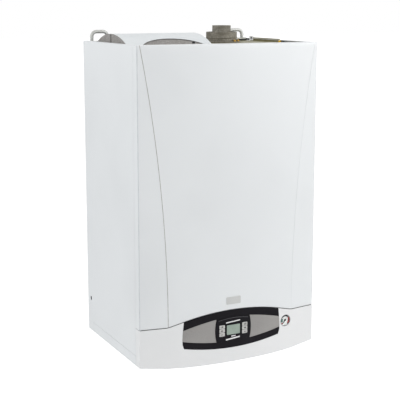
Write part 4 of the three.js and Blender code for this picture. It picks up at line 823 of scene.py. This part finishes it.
COVER_LEFT = -280.0
COVER_AXIS_Y = -190.0
COVER_HALF = 142.8
COVER_RADIUS = 267.0
COVER_CROWN = 976.0
COVER_FOOT = 915.0
END_FOAM = (0.6, 0.02)  # the end foam's faces, ahead of the cover's end
END_STEPS = 25
TAPE_PROUD = 0.9
TAPE_HALF = 2.5
ROOF = 942.0  # the sealed chamber's top
EDGE_X = 291.0  # where the fittings along the chamber's right edge end
COLLAR = (128.0, -128.0)
COLLAR_PLATE = 3.0
COLLAR_SCREWS = 56.0  # radius of their circle
SCREW_SIDES = 12


def cover_z(y):
    return COVER_CROWN - COVER_RADIUS + math.sqrt(COVER_RADIUS**2 - (y - COVER_AXIS_Y) ** 2)


def end_cap():
    """The jacket's foam where it shows over the whole left end of the tank cover, with a taped seam."""
    ends = np.linspace(COVER_AXIS_Y - COVER_HALF, COVER_AXIS_Y + COVER_HALF, END_STEPS)
    arc = [(y, cover_z(y) - 0.2) for y in ends]
    outline = [(arc[0][0], COVER_FOOT)] + arc + [(arc[-1][0], COVER_FOOT)]
    count = len(outline)
    vertices = [(COVER_LEFT - ahead, y, z) for ahead in END_FOAM for y, z in outline]
    faces = [tuple(reversed(range(count))), tuple(range(count, 2 * count))]
    faces += [(n, (n + 1) % count, count + (n + 1) % count, count + n) for n in range(count)]
    piece("jacket_end", vertices, faces, "boiler", "foam")
    across = (COVER_LEFT - TAPE_PROUD, COVER_LEFT - END_FOAM[0])
    along = (COVER_AXIS_Y - TAPE_HALF, COVER_AXIS_Y + TAPE_HALF)
    tape = (*across, *along, COVER_FOOT, COVER_CROWN - 0.4)
    slabs("jacket_tape", [tape], "boiler", "tape_black")


def screw(name, x, y, z, radius, height, look="brass"):
    """A pan-headed screw standing on a top surface."""
    rings = [(radius, 0.0), (radius, 0.6 * height), (0.6 * radius, height)]
    vertices, faces = [], []
    for r, rise in rings:
        for k in range(SCREW_SIDES):
            angle = 2 * math.pi * k / SCREW_SIDES
            vertices.append((x + r * math.cos(angle), y + r * math.sin(angle), z + rise))
    for ring in range(len(rings) - 1):
        low, high = ring * SCREW_SIDES, (ring + 1) * SCREW_SIDES
        for k in range(SCREW_SIDES):
            following = (k + 1) % SCREW_SIDES
            faces.append((low + k, low + following, high + following, high + k))
    faces.append(tuple(range(2 * SCREW_SIDES, 3 * SCREW_SIDES)))
    faces.append(tuple(reversed(range(SCREW_SIDES))))
    return piece(name, vertices, faces, "boiler", look)


def angle_strip(name, rear, front, height, foot, thickness, look):
    """An upright strip with a foot flange along the chamber's right edge."""
    upright = (EDGE_X - 2, EDGE_X, front, rear, ROOF, ROOF + height)
    flange = (EDGE_X - foot, EDGE_X, front, rear, ROOF, ROOF + thickness)
    return slabs(name, [upright, flange], "boiler", look)


end_cap()
for number, degrees in enumerate((-68, -44, 40), 1):
    angle = math.radians(degrees)
    x, y = COLLAR[0] + COLLAR_SCREWS * math.cos(angle), COLLAR[1] + COLLAR_SCREWS * math.sin(angle)
    screw(f"collar_screw_{number}", x, y, ROOF + COLLAR_PLATE, 4.8, 6.0)
screw("corner_screw", 284.0, -236.0, ROOF, 5.2, 7.0, "screw_yellow")
angle_strip("edge_strip", -52, -225, 11.0, 13, 1.2, "zinc_passivated")
# Painted shade: a black strip along the chamber's right edge toward the front, where the roof shows dark.
slabs("edge_shade_strip", [(EDGE_X - 4, EDGE_X, -301, -240, ROOF, ROOF + 2.5)], "boiler", "black_seal_and_shade")
angle_strip("corner_bracket", -25, -51, 15.0, 15, 1.4, "print_light")
slabs("jacket_clip", [(-76.0, -67.0, -330.8, -330.0, 948.0, 954.0)], "boiler", "black_seal_and_shade")
# Painted shade: a black block under the rear strip, for the dark of the slot beneath it.
slabs("rear_slot_shade", [(246.0, 273.0, -24.0, -20.0, ROOF, ROOF + 5.0)], "boiler", "black_seal_and_shade")
rear_strip = (240.0, 276.0, -26.0, -18.0, ROOF + 5.0, ROOF + 10.0)
slabs("rear_strip", [rear_strip], "boiler", "galvanised")
bracket_stop = (EDGE_X - 2.4, EDGE_X - 2, -45, -34, ROOF + 4.5, ROOF + 12.0)
slabs("bracket_stop", [bracket_stop], "boiler", "black_seal_and_shade")
slabs("corner_clip", [(EDGE_X - 5, EDGE_X, -232, -226, ROOF, ROOF + 6.0)], "boiler", "enamel")


# ---- Camera, light and floor -------------------------------------------------------------------

CAMERA_PLACE = (-1402.996, -3053.212, 1066.754)
CAMERA_PITCH = -9.9628  # degrees, from the level
CAMERA_YAW = -26.4185
LENS = 90.591
SENSOR = 36.0
SHIFT = -0.05
MIDDLE = (0, -0.25, -0.45)
WORLD_LIGHT = 0.46
FLOOR_DROP = 1.2  # floor below the boiler's foot
FLOOR_REACH = 60.0
FLOOR_GREY = (0.9, 0.9, 0.9, 1)
FLOOR_GLOW = (0.75, 0.75, 0.75, 1)


def add_object(name, data):
    obj = bpy.data.objects.new(name, data)
    bpy.context.scene.collection.objects.link(obj)
    return obj


def add_camera():
    camera = add_object("camera", bpy.data.cameras.new("camera"))
    camera.location = place(*CAMERA_PLACE)
    camera.rotation_euler = (math.radians(90 + CAMERA_PITCH), 0, math.radians(CAMERA_YAW))
    camera.data.sensor_width = SENSOR
    camera.data.lens = LENS
    camera.data.shift_y = SHIFT
    camera.data.clip_start = 0.05
    camera.data.clip_end = 200.0
    bpy.context.scene.camera = camera


def lamp(name, location, size, power, colour=(1, 1, 1)):
    data = bpy.data.lights.new(name, "AREA")
    data.shape = "RECTANGLE"
    data.size, data.size_y = size
    data.energy = power
    data.color = colour
    obj = add_object(name, data)
    obj.location = location
    obj.rotation_euler = (Vector(MIDDLE) - Vector(location)).to_track_quat("-Z", "Y").to_euler()
    return obj


def studio():
    """A soft grey light all round, which the camera, glossy surfaces and glass see as white."""
    world = bpy.data.worlds.new("studio")
    bpy.context.scene.world = world
    world.use_nodes = True
    tree = world.node_tree
    shown = tree.nodes.new("ShaderNodeLightPath")
    white = shown.outputs["Is Camera Ray"]
    for ray in ("Is Glossy Ray", "Is Transmission Ray"):
        either = tree.nodes.new("ShaderNodeMath")
        either.operation = "MAXIMUM"
        tree.links.new(white, either.inputs[0])
        tree.links.new(shown.outputs[ray], either.inputs[1])
        white = either.outputs[0]
    strength = tree.nodes.new("ShaderNodeMapRange")
    strength.inputs["To Min"].default_value = WORLD_LIGHT
    strength.inputs["To Max"].default_value = 1.0
    tree.links.new(white, strength.inputs["Value"])
    tree.nodes["Background"].inputs["Color"].default_value = (1, 1, 1, 1)
    tree.links.new(strength.outputs["Result"], tree.nodes["Background"].inputs["Strength"])


def floor_white():
    """A matt grey that glows for the camera alone, so the floor looks white and keeps its shadow."""
    ground = bpy.data.materials.new("floor_white")
    ground.use_nodes = True
    tree = ground.node_tree
    body = tree.nodes["Principled BSDF"]
    body.inputs["Base Color"].default_value = FLOOR_GREY
    body.inputs["Roughness"].default_value = 0.9
    body.inputs["Specular IOR Level"].default_value = 0.1
    glow = tree.nodes.new("ShaderNodeEmission")
    glow.inputs["Color"].default_value = FLOOR_GLOW
    path = tree.nodes.new("ShaderNodeLightPath")
    tree.links.new(path.outputs["Is Camera Ray"], glow.inputs["Strength"])
    both = tree.nodes.new("ShaderNodeAddShader")
    tree.links.new(body.outputs[0], both.inputs[0])
    tree.links.new(glow.outputs[0], both.inputs[1])
    tree.links.new(both.outputs[0], tree.nodes["Material Output"].inputs["Surface"])
    return ground


def add_floor():
    mesh = bpy.data.meshes.new("floor")
    foot = -HANGING_LINE / 1000 - FLOOR_DROP
    signs = ((-1, -1), (1, -1), (1, 1), (-1, 1))
    mesh.from_pydata([(a * FLOOR_REACH, b * FLOOR_REACH, foot) for a, b in signs], [], [(0, 1, 2, 3)])
    add_object("floor", mesh)
    mesh.materials.append(floor_white())


add_camera()
lamp("key", (2.6, -3.4, 1.2), (2.4, 3.0), 81, (1.0, 0.995, 0.985))
lamp("side", (-4.2, -0.4, 1.3), (2.6, 3.0), 88, (0.985, 0.995, 1.0))
lamp("right", (3.9, -2.0, 0.6), (2.0, 3.0), 29)
lamp("top", (0.2, -0.6, 3.0), (2.6, 2.0), 12)
studio()
add_floor()
bpy.context.scene.view_settings.view_transform = "Standard"

bpy.context.view_layer.update()
